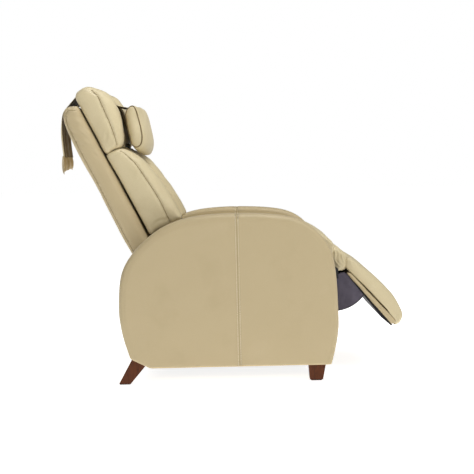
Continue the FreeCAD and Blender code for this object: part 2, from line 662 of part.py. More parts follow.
def pillow_flap():
    """Wide strap over the head cushion, hanging behind the shell to a weighted hem."""
    route = [on_back(Part.Vertex(x, 0, z)).Point for x, z in FLAP_ON_BACK]
    hang_x = FLAP_HANG_X + FLAP_THICKNESS / 2
    route = [(p.x, p.z) for p in route] + [(hang_x, FLAP_BEND_Z), (hang_x, FLAP_HEM[0])]
    sides = ([], [])
    for i, (x, z) in enumerate(route):
        before, after = route[max(i - 1, 0)], route[min(i + 1, len(route) - 1)]
        along = Vector(after[0] - before[0], 0, after[1] - before[1]).normalize()
        for half, points in ((FLAP_THICKNESS / 2, sides[0]), (-FLAP_THICKNESS / 2, sides[1])):
            points.append((x - along.z * half, z + along.x * half))
    strap = slab(sides[0] + sides[1][::-1], -FLAP_HALF_WIDTH, FLAP_HALF_WIDTH)
    hem = block((hang_x - FLAP_HEM_HALF, hang_x + FLAP_HEM_HALF), (-FLAP_HALF_WIDTH, FLAP_HALF_WIDTH),
                (FLAP_HEM[1], FLAP_HEM[0]))
    return union([strap, hem])


# ---------- assembly ----------

def make_base():
    save_pair("arm_cover", arm_cover())
    save_pair("arm_frame", arm_frame())
    save_pair("side_plate", side_plate())
    front_foot, rear_foot = feet()
    save_pair("foot_front", front_foot)
    save_pair("foot_rear", rear_foot)
    save("foot_glides", foot_glides())
    between_arms = (-ARM_INNER_Y, ARM_INNER_Y)
    rail_z = (RAIL_BOTTOM, RAIL_BOTTOM + RAIL_HEIGHT)
    tray_top = rail_z[1] + TRAY_THICKNESS
    save("front_rail", block((FRONT_RAIL_X, FRONT_RAIL_X + RAIL_DEPTH), between_arms, rail_z))
    save("rear_rail", block((REAR_RAIL_X, REAR_RAIL_X + RAIL_DEPTH), between_arms, rail_z))
    save("base_tray", block((REAR_RAIL_X, FRONT_RAIL_X + RAIL_DEPTH), between_arms, (rail_z[1], tray_top)))
    save("front_panel", block((FRONT_PANEL_X, FRONT_PANEL_X + PANEL_THICKNESS), between_arms,
                              (PANEL_BOTTOM, FRONT_PANEL_TOP)))
    save("rear_panel", rear_panel())
    save("mains_inlet", mains_inlet())
    save("power_box", block(POWER_BOX_X, POWER_BOX_Y, (tray_top, tray_top + POWER_BOX_HEIGHT)))
    save("hinge_pins", hinge_pins())


def make_seat():
    save("seat_deck", seat_deck())
    save("seat_cushion", seat_cushion())
    save("knee_roll", knee_roll())
    save("control_panel", control_panel())
    for name, x in zip(("recline", "leg_rest", "massage"), BUTTON_X):
        save(name + "_button", button(x))


def make_actuators():
    save("recline_actuator", actuator(RECLINE_ROD_Z, (-72, 190), (-73, 120), -ACTUATOR_Y))
    turn = math.radians(RECLINE_LEVER_REST)
    recline_pin = BACK_HINGE[0] - RECLINE_LEVER * math.sin(turn)
    save("recline_rod", actuator_rod(recline_pin, RECLINE_ROD_Z, (recline_pin + 16, 30), -ACTUATOR_Y, 9, 14))
    save("leg_actuator", actuator(LEG_ROD_Z, (30, 284), (100, 285), ACTUATOR_Y))
    save("leg_rod", actuator_rod(LEG_HINGE[0], LEG_ROD_Z, (170, LEG_HINGE[0] - 17), ACTUATOR_Y, 10.2, 19.5))


def make_back():
    save("back_frame", back_frame())
    save_pair("back_bracket", back_bracket())
    save("recline_lever", recline_lever())
    save("back_shell", back_shell())
    for name, outline in (("head_bolster", HEAD_OUTLINE), ("back_bolster", BACK_OUTLINE)):
        save_pair(name, on_back(slab(outline, -CUSHION_HALF_WIDTH, -CHANNEL_HALF_WIDTH)))
    save("back_centre_pad", centre_pad(*BACK_PAD))
    save("head_centre_pad", centre_pad(*HEAD_PAD))
    save("lower_back_pad", on_back(block((CENTRE_PAD_REAR, LOWER_PAD_FRONT),
                                         (-CUSHION_HALF_WIDTH, CUSHION_HALF_WIDTH), LOWER_PAD)))


def make_massager():
    low, high = RAIL_BLOCK_HEIGHTS[0], RAIL_BLOCK_HEIGHTS[1] + RAIL_BLOCK
    rods = [rod(ROD_RADIUS, (ROD_DEPTH, y, low), (ROD_DEPTH, y, high)) for y in (-ROD_Y, ROD_Y)]
    save("guide_rods", on_back(group(rods)))
    save("rail_blocks", rail_blocks())
    motor = rod(LIFT_MOTOR_RADIUS, (ROD_DEPTH, 0, low - LIFT_MOTOR_HEIGHT), (ROD_DEPTH, 0, low))
    motor = motor.cut(rod(SCREW_RADIUS + RUNNING_CLEARANCE, (ROD_DEPTH, 0, low - SCREW_INSERT - 2),
                          (ROD_DEPTH, 0, low + 1)))
    save("lift_motor", on_back(motor))
    screw = rod(SCREW_RADIUS, (ROD_DEPTH, 0, low - SCREW_INSERT), (ROD_DEPTH, 0, high + 5))
    save("lead_screw", on_back(screw))
    save("massage_carriage", massage_carriage())
    save_pair("roller_arm", roller_arm())
    save_pair("roller_upper", roller(1))
    save_pair("roller_lower", roller(-1))


def make_leg_rest():
    save("leg_frame", leg_frame())
    save("leg_board", leg_board())
    save("leg_cushion", leg_cushion())
    save("leg_shroud", leg_shroud())


def make_pillow():
    save("neck_pillow", neck_pillow())
    save("pillow_flap", pillow_flap())


os.makedirs("parts", exist_ok=True)
make_base()
make_seat()
make_actuators()
make_back()
make_massager()
make_leg_rest()
make_pillow()
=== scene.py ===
import json
import math

import bpy
import numpy as np
from mathutils import Matrix, Vector
from mathutils.bvhtree import BVHTree


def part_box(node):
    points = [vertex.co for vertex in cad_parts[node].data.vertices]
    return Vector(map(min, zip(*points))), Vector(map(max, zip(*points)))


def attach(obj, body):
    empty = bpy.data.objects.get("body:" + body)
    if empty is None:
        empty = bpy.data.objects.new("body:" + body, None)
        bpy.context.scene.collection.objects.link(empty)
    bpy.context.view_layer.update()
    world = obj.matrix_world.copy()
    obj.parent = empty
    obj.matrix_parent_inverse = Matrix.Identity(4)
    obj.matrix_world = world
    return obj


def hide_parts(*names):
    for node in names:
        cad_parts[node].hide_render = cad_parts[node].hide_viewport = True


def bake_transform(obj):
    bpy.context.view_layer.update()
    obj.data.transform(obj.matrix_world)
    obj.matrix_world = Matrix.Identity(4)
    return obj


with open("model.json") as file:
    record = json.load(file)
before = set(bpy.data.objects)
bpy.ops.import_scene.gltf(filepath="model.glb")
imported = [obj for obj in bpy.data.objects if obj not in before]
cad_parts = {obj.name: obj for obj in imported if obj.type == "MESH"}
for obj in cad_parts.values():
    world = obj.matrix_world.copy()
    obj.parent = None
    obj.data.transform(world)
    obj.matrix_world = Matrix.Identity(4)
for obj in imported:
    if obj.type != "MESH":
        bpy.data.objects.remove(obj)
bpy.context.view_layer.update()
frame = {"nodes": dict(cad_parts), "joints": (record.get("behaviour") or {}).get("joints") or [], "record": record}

# Power massage recliner. Outlines are in millimetres: the back's as (forward, up) from its hinge,
# the leg rest's as (down the slope, square to it) from its hinge, the base's as (x, z).

MM = 0.001
JOINTS = {joint["name"]: joint for joint in frame["joints"]}
BACK_HINGE = np.array(JOINTS["back_recline"]["pos_m"])
LEG_HINGE = np.array(JOINTS["leg_rest_swing"]["pos_m"])
UP_THE_BACK = np.array(JOINTS["carriage_travel"]["axis"])
OFF_THE_BACK = np.array(JOINTS["knead_right"]["axis"])
DOWN_THE_LEG = np.array([math.cos(math.radians(45)), 0, -math.sin(math.radians(45))])
OFF_THE_LEG = np.array([math.sin(math.radians(45)), 0, math.cos(math.radians(45))])
DRAWING_X = 0.0115
ACROSS = np.array([0.0, 1.0, 0.0])


# ---------- places ----------

def on_back(a, b, y):
    """World points for depths a and heights b on the back, and y across, in millimetres."""
    return (BACK_HINGE + MM * (np.outer(a, OFF_THE_BACK) + np.outer(b, UP_THE_BACK) + np.outer(y, ACROSS)))


def on_leg(a, b, y):
    """World points for a down the leg rest's slope and b square to it."""
    return (LEG_HINGE + MM * (np.outer(a, DOWN_THE_LEG) + np.outer(b, OFF_THE_LEG) + np.outer(y, ACROSS)))


def on_base(a, b, y):
    """World points for the base's (x, z) side view."""
    return np.column_stack([np.asarray(a) * MM + DRAWING_X, np.asarray(y) * MM, np.asarray(b) * MM])


def smoothstep(low, high, value):
    t = np.clip((np.asarray(value, float) - low) / (high - low), 0, 1)
    return t * t * (3 - 2 * t)


# ---------- outlines ----------

def curve_through(points, step, closed=False):
    """A smooth curve through points, cut into equal steps."""
    p = np.array(points, float)
    if closed:
        p = np.vstack([p[-1:], p, p[:2]])
    else:
        p = np.vstack([2 * p[0] - p[1], p, 2 * p[-1] - p[-2]])
    t = np.linspace(0, 1, 24, endpoint=False)[:, None]
    pieces = []
    for p0, p1, p2, p3 in zip(p, p[1:], p[2:], p[3:]):
        pieces.append(0.5 * (2 * p1 + (p2 - p0) * t + (2 * p0 - 5 * p1 + 4 * p2 - p3) * t ** 2
                             + (3 * p1 - p0 - 3 * p2 + p3) * t ** 3))
    pieces.append(p[-2][None, :] if not closed else pieces[0][:1])
    return resample(np.vstack(pieces), step, closed)


def resample(points, step, closed=False):
    """The same line cut into equal steps; a closed line doesn't repeat its first point."""
    lengths = np.concatenate([[0], np.cumsum(np.linalg.norm(np.diff(points, axis=0), axis=1))])
    count = max(int(round(lengths[-1] / step)), 3)
    at = np.linspace(0, lengths[-1], count + 1)
    out = np.column_stack([np.interp(at, lengths, points[:, k]) for k in range(points.shape[1])])
    return out[:-1] if closed else out


def inward(outline):
    """Unit normals that point into a closed outline."""
    tangent = np.roll(outline, -1, 0) - np.roll(outline, 1, 0)
    tangent /= np.maximum(np.linalg.norm(tangent, axis=1), 1e-9)[:, None]
    x, z = outline.T
    turn = np.sign(np.sum(x * np.roll(z, -1) - np.roll(x, -1) * z))
    return np.column_stack([-tangent[:, 1], tangent[:, 0]]) * turn


# ---------- meshes ----------

def mesh_object(name, points, faces, smooth=True):
    mesh = bpy.data.meshes.new(name)
    mesh.from_pydata([tuple(p) for p in points], [], faces)
    mesh.validate()
    mesh.update()
    if smooth:
        mesh.shade_smooth()
    piece = bpy.data.objects.new(name, mesh)
    bpy.context.scene.collection.objects.link(piece)
    return piece


ROUNDING_STEPS = 8
CAP_SCALES = (0.93, 0.8, 0.62, 0.42, 0.2)


def loft(name, outline, low, high, radius, place, dome=0.0, shape=None, step=8.0):
    """A closed form: an outline swept from y low to y high with rounded, slightly domed ends.

    radius gives each outline point's rounding at the ends, and shape may move (a, b, y) points."""
    ring = np.array(outline, float)
    into = inward(ring)
    radii = radius(ring[:, 0], ring[:, 1]) if callable(radius) else np.full(len(ring), float(radius))
    biggest = max(radii.max(), 1.0)
    turns = [math.radians(90 * k / ROUNDING_STEPS) for k in range(ROUNDING_STEPS + 1)]
    ease = [biggest * (1 - math.cos(turn)) for turn in turns]
    middle = (low + high) / 2
    count = max(int((middle - low - ease[-1]) / step), 1)
    depth = ease + list(np.linspace(ease[-1], middle - low, count + 1)[1:])
    ys = [low + d for d in depth] + [high - d for d in depth[::-1][1:]]
    sections = []
    for y in ys:
        d = min(y - low, high - y)
        rest = np.clip(1 - d / np.maximum(radii, 1e-6), 0, 1)
        inset = radii * (1 - np.sqrt(np.clip(1 - rest ** 2, 0, 1)))
        section = ring + into * inset[:, None]
        sections.append(np.column_stack([section, np.full(len(ring), y)]))
    for end, sign in ((0, -1), (-1, 1)):
        rim = sections[end]
        centre = rim.mean(0)
        for scale in CAP_SCALES:
            cap = centre + (rim - centre) * scale
            cap[:, 2] = rim[0, 2] + sign * dome * (1 - scale ** 2)
            if end == 0:
                sections.insert(0, cap)
            else:
                sections.append(cap)
    n = len(ring)
    flat = np.vstack(sections)
    tips = np.array([[*sections[0][:, :2].mean(0), low - dome], [*sections[-1][:, :2].mean(0), high + dome]])
    flat = np.vstack([flat, tips])
    if shape:
        flat = shape(flat)
    faces = []
    for row in range(len(sections) - 1):
        for k in range(n):
            j = (k + 1) % n
            faces.append((row * n + k, row * n + j, (row + 1) * n + j, (row + 1) * n + k))
    first, last = len(flat) - 2, len(flat) - 1
    for k in range(n):
        j = (k + 1) % n
        faces.append((first, j, k))
        faces.append((last, (len(sections) - 1) * n + k, (len(sections) - 1) * n + j))
    piece = mesh_object(name, place(flat[:, 0], flat[:, 1], flat[:, 2]), faces)
    face_outwards(piece)
    return piece


def face_outwards(piece):
    """Turn a closed mesh's faces outwards."""
    points, triangles = coordinates(piece), corners(piece.data)
    a, b, c = points[triangles[:, 0]], points[triangles[:, 1]], points[triangles[:, 2]]
    if (a * np.cross(b, c)).sum() < 0:
        piece.data.flip_normals()


def corners(mesh):
    mesh.calc_loop_triangles()
    found = np.zeros(len(mesh.loop_triangles) * 3, np.int32)
    mesh.loop_triangles.foreach_get("vertices", found)
    return found.reshape(-1, 3)


def coordinates(piece):
    found = np.zeros(len(piece.data.vertices) * 3, np.float32)
    piece.data.vertices.foreach_get("co", found)
    return found.reshape(-1, 3).astype(float)


def set_coordinates(piece, points):
    piece.data.vertices.foreach_set("co", points.astype(np.float32).ravel())
    piece.data.update()


def normals(piece):
    found = np.zeros(len(piece.data.vertices) * 3, np.float32)
    piece.data.vertex_normals.foreach_get("vector", found)
    return found.reshape(-1, 3).astype(float)


def apply_modifiers(piece):
    graph = bpy.context.evaluated_depsgraph_get()
    made = bpy.data.meshes.new_from_object(piece.evaluated_get(graph))
    piece.modifiers.clear()
    old = piece.data
    piece.data = made
    bpy.data.meshes.remove(old)
    piece.data.shade_smooth()


def remesh(piece, size, rounds=4):
    """Even square cells all over the piece, with the steps between them smoothed away."""
    cells = piece.modifiers.new("cells", "REMESH")
    cells.mode = "VOXEL"
    cells.voxel_size = size * MM
    even = piece.modifiers.new("even", "SMOOTH")
    even.factor = 0.5
    even.iterations = rounds
    apply_modifiers(piece)


def near_lines(points, lines):
    """For each point: distance to the nearest of the lines, and how far along that line it is, in metres."""
    best = np.full(len(points), 1e9)
    along = np.zeros(len(points))
    for line in lines:
        line = np.asarray(line)
        lengths = np.concatenate([[0], np.cumsum(np.linalg.norm(np.diff(line, axis=0), axis=1))])
        low, high = line.min(0) - 0.05, line.max(0) + 0.05
        chosen = np.flatnonzero(((points >= low) & (points <= high)).all(1))
        for chunk in np.array_split(chosen, max(len(chosen) // 4000, 1)):
            if not len(chunk):
                continue
            apart = np.linalg.norm(points[chunk][:, None, :] - line[None, :, :], axis=2)
            nearest = apart.argmin(1)
            distance = apart[np.arange(len(chunk)), nearest]
            better = distance < best[chunk]
            best[chunk[better]] = distance[better]
            along[chunk[better]] = lengths[nearest[better]]
    return best, along


def waves(points, count, shortest, longest, seed):
    """Smooth unevenness from -1 to 1, the same each run; lengths are in metres."""
    draw = np.random.default_rng(seed)
    total = np.zeros(len(points))
    for _ in range(count):
        direction = draw.normal(size=3)
        direction /= np.linalg.norm(direction)
        length = draw.uniform(shortest, longest)
        total += np.sin(points @ direction * (2 * math.pi / length) + draw.uniform(0, 2 * math.pi))
    return total / math.sqrt(count)


CLOTH_FRAMES = 20
CLOTH_PRESSURE = 4.0


def inflate(piece, held, reach):
    """Swell a closed cushion by cloth simulation.

    Held points stay, and no point moves beyond reach millimetres."""
    start = coordinates(piece)
    group = piece.vertex_groups.new(name="held")
    group.add([int(i) for i in np.flatnonzero(held)], 1.0, "REPLACE")
    cloth = piece.modifiers.new("cloth", "CLOTH")
    settings = cloth.settings
    settings.quality = 4
    settings.use_pressure = True
    settings.uniform_pressure_force = CLOTH_PRESSURE
    settings.effector_weights.gravity = 0
    settings.vertex_group_mass = "held"
    settings.tension_stiffness = 12
    settings.compression_stiffness = 12
    settings.bending_stiffness = 2
    cloth.collision_settings.use_collision = False
    cloth.point_cache.frame_start = 1
    cloth.point_cache.frame_end = CLOTH_FRAMES
    scene = bpy.context.scene
    for number in range(1, CLOTH_FRAMES + 1):
        scene.frame_set(number)
    graph = bpy.context.evaluated_depsgraph_get()
    swollen = piece.evaluated_get(graph).data
    found = np.zeros(len(swollen.vertices) * 3, np.float32)
    swollen.vertices.foreach_get("co", found)
    moved = found.reshape(-1, 3) - start
    length = np.linalg.norm(moved, axis=1)
    cap = reach * MM
    moved *= (cap * np.tanh(length / cap) / np.maximum(length, 1e-9))[:, None]
    piece.modifiers.clear()
    piece.vertex_groups.clear()
    scene.frame_set(1)
    set_coordinates(piece, start + moved)
    even = piece.modifiers.new("even", "SMOOTH")
    even.factor = 0.5
    even.iterations = 3
    apply_modifiers(piece)


def groove(piece, lines, depth, width, pucker=0.0, pitch=16.0):
    """Press sewn valleys into the surface along lines, with small puckers beside them."""
    points, out = coordinates(piece), normals(piece)
    distance, along = near_lines(points, lines)
    valley = depth * MM * np.exp(-(distance / (width * MM)) ** 2)
    if pucker:
        phase = along * 2 * math.pi / (pitch * MM) + 2.2 * np.sin(along * 2 * math.pi / (pitch * 4.3 * MM))
        beside = np.exp(-(distance / (width * 2.4 * MM)) ** 2)
        valley += pucker * MM * beside * 0.5 * (1 + np.sin(phase))
    set_coordinates(piece, points - out * valley[:, None])


def push(piece, amount):
    """Move every point along its normal; amount gives metres for (points, normals)."""
    points, out = coordinates(piece), normals(piece)
    set_coordinates(piece, points + out * amount(points, out)[:, None])


SEAM_STEP = 0.004
CREASE_STEP = 0.003


def crumple(piece, creases, depth=2.6, width=4.5):
    """Short creases that fade out at both ends."""
    for crease in creases:
        line = resample(crease, CREASE_STEP)
        points, out = coordinates(piece), normals(piece)
        distance, along = near_lines(points, [line])
        length = CREASE_STEP * (len(line) - 1)
        fade = np.sin(np.clip(along / length, 0, 1) * math.pi)
        spread = width * MM
        hollow = np.exp(-(distance / spread) ** 2)
        ridge = np.exp(-((distance - 1.9 * spread) / spread) ** 2)
        pressed = depth * (hollow - 0.45 * ridge)
        set_coordinates(piece, points - out * (pressed * fade * MM)[:, None])


def both_sides(lines, y, place, step=4.0):
    """World lines for local lines, each at -y and at +y."""
    made = []
    for line in lines:
        bent = curve_through(line, step)
        for side in (-1, 1):
            made.append(place(bent[:, 0], bent[:, 1], np.full(len(bent), side * float(y))))
    return made


def finer(piece):
    piece.modifiers.new("finer", "SUBSURF").levels = 1
    piece.modifiers["finer"].render_levels = 1


# ---------- seams and stitches ----------

def tube(points, radii, sides=6, closed=False):
    """Points and faces of a round tube along points."""
    points = np.asarray(points, float)
    if closed:
        tangent = np.roll(points, -1, 0) - np.roll(points, 1, 0)
    else:
        tangent = np.gradient(points, axis=0)
    tangent /= np.maximum(np.linalg.norm(tangent, axis=1), 1e-12)[:, None]
    helper = np.where(np.abs(tangent[:, 2:3]) < 0.8, [[0, 0, 1.0]], [[0, 1.0, 0]])
    u = np.cross(tangent, helper)
    u /= np.linalg.norm(u, axis=1)[:, None]
    v = np.cross(tangent, u)
    radii = np.broadcast_to(np.asarray(radii, float), (len(points),))
    turns = np.arange(sides) * 2 * math.pi / sides
    rings = (points[:, None, :] + radii[:, None, None] * (u[:, None, :] * np.cos(turns)[None, :, None]
                                                          + v[:, None, :] * np.sin(turns)[None, :, None]))
    n = len(points)
    faces = []
    for row in range(n if closed else n - 1):
        after = (row + 1) % n
        for k in range(sides):
            j = (k + 1) % sides
            faces.append((row * sides + k, row * sides + j, after * sides + j, after * sides + k))
    if not closed:
        faces.append(tuple(range(sides))[::-1])
        faces.append(tuple((n - 1) * sides + k for k in range(sides)))
    return rings.reshape(-1, 3), faces


class Collected:
    """Small parts gathered into one mesh."""

    def __init__(self):
        self.points, self.faces, self.count = [], [], 0

    def add(self, points, faces):
        self.points.append(points)
        self.faces += [tuple(i + self.count for i in face) for face in faces]
        self.count += len(points)

    def build(self, name, parent, material):
        piece = mesh_object(name, np.vstack(self.points), self.faces)
        piece.parent = parent
        piece.data.materials.append(material)
        return piece


def on_surface(piece, line):
    """The nearest points on the piece's finished surface to a line, with the surface's normals."""
    graph = bpy.context.evaluated_depsgraph_get()
    tree = BVHTree.FromObject(piece, graph)
    places, out = [], []
    for point in line:
        place, normal, _, _ = tree.find_nearest(Vector(point))
        places.append(place)
        out.append(normal)
    out = np.array(out)
    for _ in range(3):
        out[1:-1] = (out[:-2] + out[1:-1] * 2 + out[2:]) / 4
    out /= np.linalg.norm(out, axis=1)[:, None]
    places = np.array(places)
    for _ in range(2):
        places[1:-1] = (places[:-2] + places[1:-1] * 2 + places[2:]) / 4
    return places, out


THREAD_CELL = 0.0005
STITCH_SHARE = 0.68
STITCH_HEIGHTS = np.array([-0.25, 0.3, 0.45, 0.3, -0.25])
STITCH_RADII = np.array([0.35, 0.6, 0.6, 0.6, 0.35])


def sew(piece, lines, seam_shadow_material, thread_material=None, rows=(), pitch=7.0, seam_radius=0.9, sink=0.3,
        thick=1.0):
    """A thin dark tube along each line as painted seam shadow, and rows of stitches at distances from it in
    millimetres.
    """
    seams, threads = Collected(), Collected()
    for line in lines:
        line = resample(np.asarray(line), SEAM_STEP)
        places, out = on_surface(piece, line)
        seams.add(*tube(places - out * sink * MM, seam_radius * MM))
        along = np.gradient(places, axis=0)
        along /= np.maximum(np.linalg.norm(along, axis=1), 1e-12)[:, None]
        aside = np.cross(out, along)
        for row in rows:
            path, lift = on_surface(piece, places + aside * row * MM)
            dense = resample(np.column_stack([path, lift]), THREAD_CELL)
            per = int(pitch * MM / THREAD_CELL)
            stitch = int(per * STITCH_SHARE)
            for first in range(0, len(dense) - stitch, per):
                run = dense[first + np.array([0, stitch // 5, stitch // 2, stitch - stitch // 5, stitch])]
                raised = run[:, :3] + run[:, 3:6] * STITCH_HEIGHTS[:, None] * MM
                threads.add(*tube(raised, STITCH_RADII * thick * MM, 5))
    # Each seam tube is painted seam shadow.
    seams.build(piece.name + "_seam", piece, seam_shadow_material)
    if threads.count:
        threads.build(piece.name + "_thread", piece, thread_material)


def sewn_onto(piece, lines):
    """The lines laid on the piece's surface."""
    return [on_surface(piece, resample(line, SEAM_STEP))[0] for line in lines]


def double_stitched(piece, lines):
    """A cushion's seams, with painted seam shadow along them and a row of stitches on each side."""
    sew(piece, lines, SEAM_SHADOW, CUSHION_THREAD, rows=(-3.5, 3.5), pitch=6.0, seam_radius=1.1, sink=0.2)


# ---------- materials ----------

def colour(code):
    """Linear colour of a display code such as d0c0a0."""
    parts = [int(code[i:i + 2], 16) / 255 for i in (0, 2, 4)]
    return [((c + 0.055) / 1.055) ** 2.4 if c > 0.04045 else c / 12.92 for c in parts] + [1.0]


class Surface:
    """A procedural material, built node by node."""

    def __init__(self, name, roughness=0.5, metallic=0.0, sheen=0.0, coat=0.0, specular=0.5):
        self.material = bpy.data.materials.new(name)
        self.material.use_nodes = True
        self.tree = self.material.node_tree
        self.shader = self.tree.nodes["Principled BSDF"]
        self.shader.inputs["Roughness"].default_value = roughness
        self.shader.inputs["Metallic"].default_value = metallic
        self.shader.inputs["Sheen Weight"].default_value = sheen
        self.shader.inputs["Sheen Roughness"].default_value = 0.45
        self.shader.inputs["Coat Weight"].default_value = coat
        self.shader.inputs["Coat Roughness"].default_value = 0.25
        self.shader.inputs["Specular IOR Level"].default_value = specular
        self.place = self.node("ShaderNodeTexCoord").outputs["Object"]
        self.bumped = None

    def node(self, kind, **inputs):
        made = self.tree.nodes.new(kind)
        for key, value in inputs.items():
            made.inputs[key.replace("_", " ")].default_value = value
        return made

    def link(self, start, end):
        self.tree.links.new(start, end)

    def stretched(self, scale):
        mapping = self.node("ShaderNodeMapping")
        mapping.inputs["Scale"].default_value = scale
        self.link(self.place, mapping.inputs["Vector"])
        return mapping.outputs["Vector"]

    def noise(self, scale, detail=3.0, roughness=0.5, distortion=0.0, vector=None):
        made = self.node("ShaderNodeTexNoise", Scale=scale, Detail=detail, Roughness=roughness,
                         Distortion=distortion)
        self.link(vector or self.place, made.inputs["Vector"])
        return made.outputs["Fac"]

    def cells(self, scale, feature="F1", vector=None):
        made = self.node("ShaderNodeTexVoronoi", Scale=scale)
        made.feature = feature
        self.link(vector or self.place, made.inputs["Vector"])
        return made.outputs["Distance"]

    def ramp(self, value, stops):
        """Shades, each a colour code or linear values, at their places along a value."""
        made = self.node("ShaderNodeValToRGB")
        band = made.color_ramp
        while len(band.elements) < len(stops):
            band.elements.new(0.5)
        for element, (at, shade) in zip(band.elements, stops):
            element.position = at
            element.color = colour(shade) if isinstance(shade, str) else shade
        self.link(value, made.inputs["Fac"])
        return made.outputs["Color"]

    def span(self, value, from_low, from_high, to_low, to_high):
        made = self.node("ShaderNodeMapRange")
        for key, number in (("From Min", from_low), ("From Max", from_high), ("To Min", to_low),
                            ("To Max", to_high)):
            made.inputs[key].default_value = number
        self.link(value, made.inputs["Value"])
        return made.outputs["Result"]

    def mix(self, share, first, second):
        """Two shades mixed; each may be a colour code."""
        made = self.node("ShaderNodeMix")
        made.data_type = "RGBA"
        for key, value in ((0, share), (6, first), (7, second)):
            if isinstance(value, str):
                made.inputs[key].default_value = colour(value)
            elif isinstance(value, float):
                made.inputs[key].default_value = value
            else:
                self.link(value, made.inputs[key])
        return made.outputs[2]

    def pointiness(self):
        """How far a place stands out: above 0.5 on edges, below it in folds."""
        return self.node("ShaderNodeNewGeometry").outputs["Pointiness"]

    def bump(self, height, strength, distance):
        made = self.node("ShaderNodeBump", Strength=strength, Distance=distance)
        self.link(height, made.inputs["Height"])
        if self.bumped is not None:
            self.link(self.bumped, made.inputs["Normal"])
        self.bumped = made.outputs["Normal"]
        self.link(self.bumped, self.shader.inputs["Normal"])

    def base(self, shade):
        self.link(shade, self.shader.inputs["Base Color"])

    def rough(self, value):
        self.link(value, self.shader.inputs["Roughness"])


def leather(name, middle, light, dark, grain=430.0, creases=0.35):
    """Pigmented leather: pebbled grain, fine pores, faint creases, paler worn edges, and painted shade darkening
    the folds.
    """
    made = Surface(name, sheen=0.08, specular=0.42)
    broad = made.noise(7.0, detail=5.0, roughness=0.55)
    mottled = made.ramp(broad, [(0.2, dark), (0.45, middle), (0.6, middle), (0.9, light)])
    point = made.pointiness()
    worn = made.span(point, 0.505, 0.545, 0.0, 0.55)
    # Painted shade: the leather is darkened in folds and hollows, where shade falls.
    painted_fold_shade = made.span(point, 0.49, 0.43, 0.0, 0.8)
    shade = made.mix(worn, mottled, light)
    shade = made.mix(painted_fold_shade, shade, dark)
    pebble = made.cells(grain, "SMOOTH_F1")
    between = made.span(pebble, 0.35, 0.75, 0.0, 0.35)
    shade = made.mix(between, shade, dark)
    made.base(shade)
    made.rough(made.span(made.noise(38.0, detail=4.0), 0.3, 0.7, 0.44, 0.6))
    made.bump(made.noise(26.0, detail=5.0, roughness=0.6, distortion=0.7), creases, 0.0012)
    made.bump(pebble, 0.28, 0.0005)
    made.bump(made.noise(1600.0, detail=2.0), 0.12, 0.0002)
    return made.material


def woven(name, middle, light, pitch=900.0):
    """Plain-woven upholstery cloth with a nap."""
    made = Surface(name, roughness=0.85, sheen=0.3, specular=0.2)
    heights = []
    for turn in ((1, 0, 0.25), (0, 1, 0)):
        strand = made.node("ShaderNodeTexWave", Scale=pitch / 6.28, Distortion=0.6, Detail=1.0)
        strand.bands_direction = "X" if turn[0] else "Y"
        made.link(made.place, strand.inputs["Vector"])
        heights.append(strand.outputs["Fac"])
    weave = made.mix(0.5, heights[0], heights[1])
    made.base(made.mix(made.span(made.noise(30.0), 0.3, 0.7, 0.0, 1.0), middle, light))
    made.bump(weave, 0.5, 0.0006)
    made.bump(made.noise(9.0, detail=4.0), 0.3, 0.003)
    return made.material


def wood(name, dark, light, along=(1.0, 1.0, 0.12)):
    """Stained wood with the grain along one direction."""
    made = Surface(name, roughness=0.5, coat=0.08, specular=0.2)
    run = made.stretched(along)
    rings = made.noise(70.0, detail=6.0, roughness=0.65, distortion=1.4, vector=run)
    pores = made.noise(420.0, detail=2.0, vector=run)
    shade = made.ramp(rings, [(0.32, dark), (0.5, light), (0.66, dark)])
    point = made.pointiness()
    shade = made.mix(made.span(point, 0.51, 0.56, 0.0, 0.5), shade, light)
    made.base(made.mix(made.span(pores, 0.35, 0.5, 0.5, 0.0), shade, dark))
    made.rough(made.span(rings, 0.3, 0.7, 0.42, 0.58))
    made.bump(pores, 0.15, 0.0004)
    return made.material


def metal(name, shade, light, roughness=0.35, metallic=1.0, grain=300.0):
    """Brushed or powder-coated metal."""
    made = Surface(name, roughness=roughness, metallic=metallic)
    brushed = made.noise(grain, detail=3.0, vector=made.stretched([1.0, 0.06, 1.0]))
    made.base(made.mix(made.span(made.noise(12.0), 0.3, 0.7, 0.0, 1.0), shade, light))
    made.rough(made.span(brushed, 0.2, 0.8, roughness - 0.1, roughness + 0.15))
    made.bump(brushed, 0.12, 0.0003)
    return made.material


def plastic(name, shade, light, roughness=0.45, grain=900.0):
    """Moulded plastic with a fine spark-eroded grain."""
    made = Surface(name, roughness=roughness, specular=0.5)
    point = made.pointiness()
    made.base(made.mix(made.span(point, 0.5, 0.56, 0.0, 0.8), shade, light))
    made.rough(made.span(made.noise(40.0), 0.3, 0.7, roughness - 0.06, roughness + 0.08))
    made.bump(made.noise(grain, detail=2.0), 0.25, 0.0002)
    return made.material


def plywood(name):
    """Plies along the edges and fibres along the faces."""
    made = Surface(name, roughness=0.7, specular=0.3)
    layers = made.node("ShaderNodeTexWave", Scale=110.0, Distortion=1.2, Detail=2.0)
    layers.bands_direction = "Z"
    made.link(made.place, layers.inputs["Vector"])
    fibres = made.noise(60.0, detail=5.0, vector=made.stretched([0.15, 1.0, 1.0]))
    shade = made.mix(0.3, made.ramp(fibres, [(0.3, "a77f4f"), (0.7, "cfab78")]),
                     made.ramp(layers.outputs["Fac"], [(0.4, "b98f5c"), (0.6, "8a6438")]))
    made.base(shade)
    made.bump(fibres, 0.2, 0.0005)
    return made.material


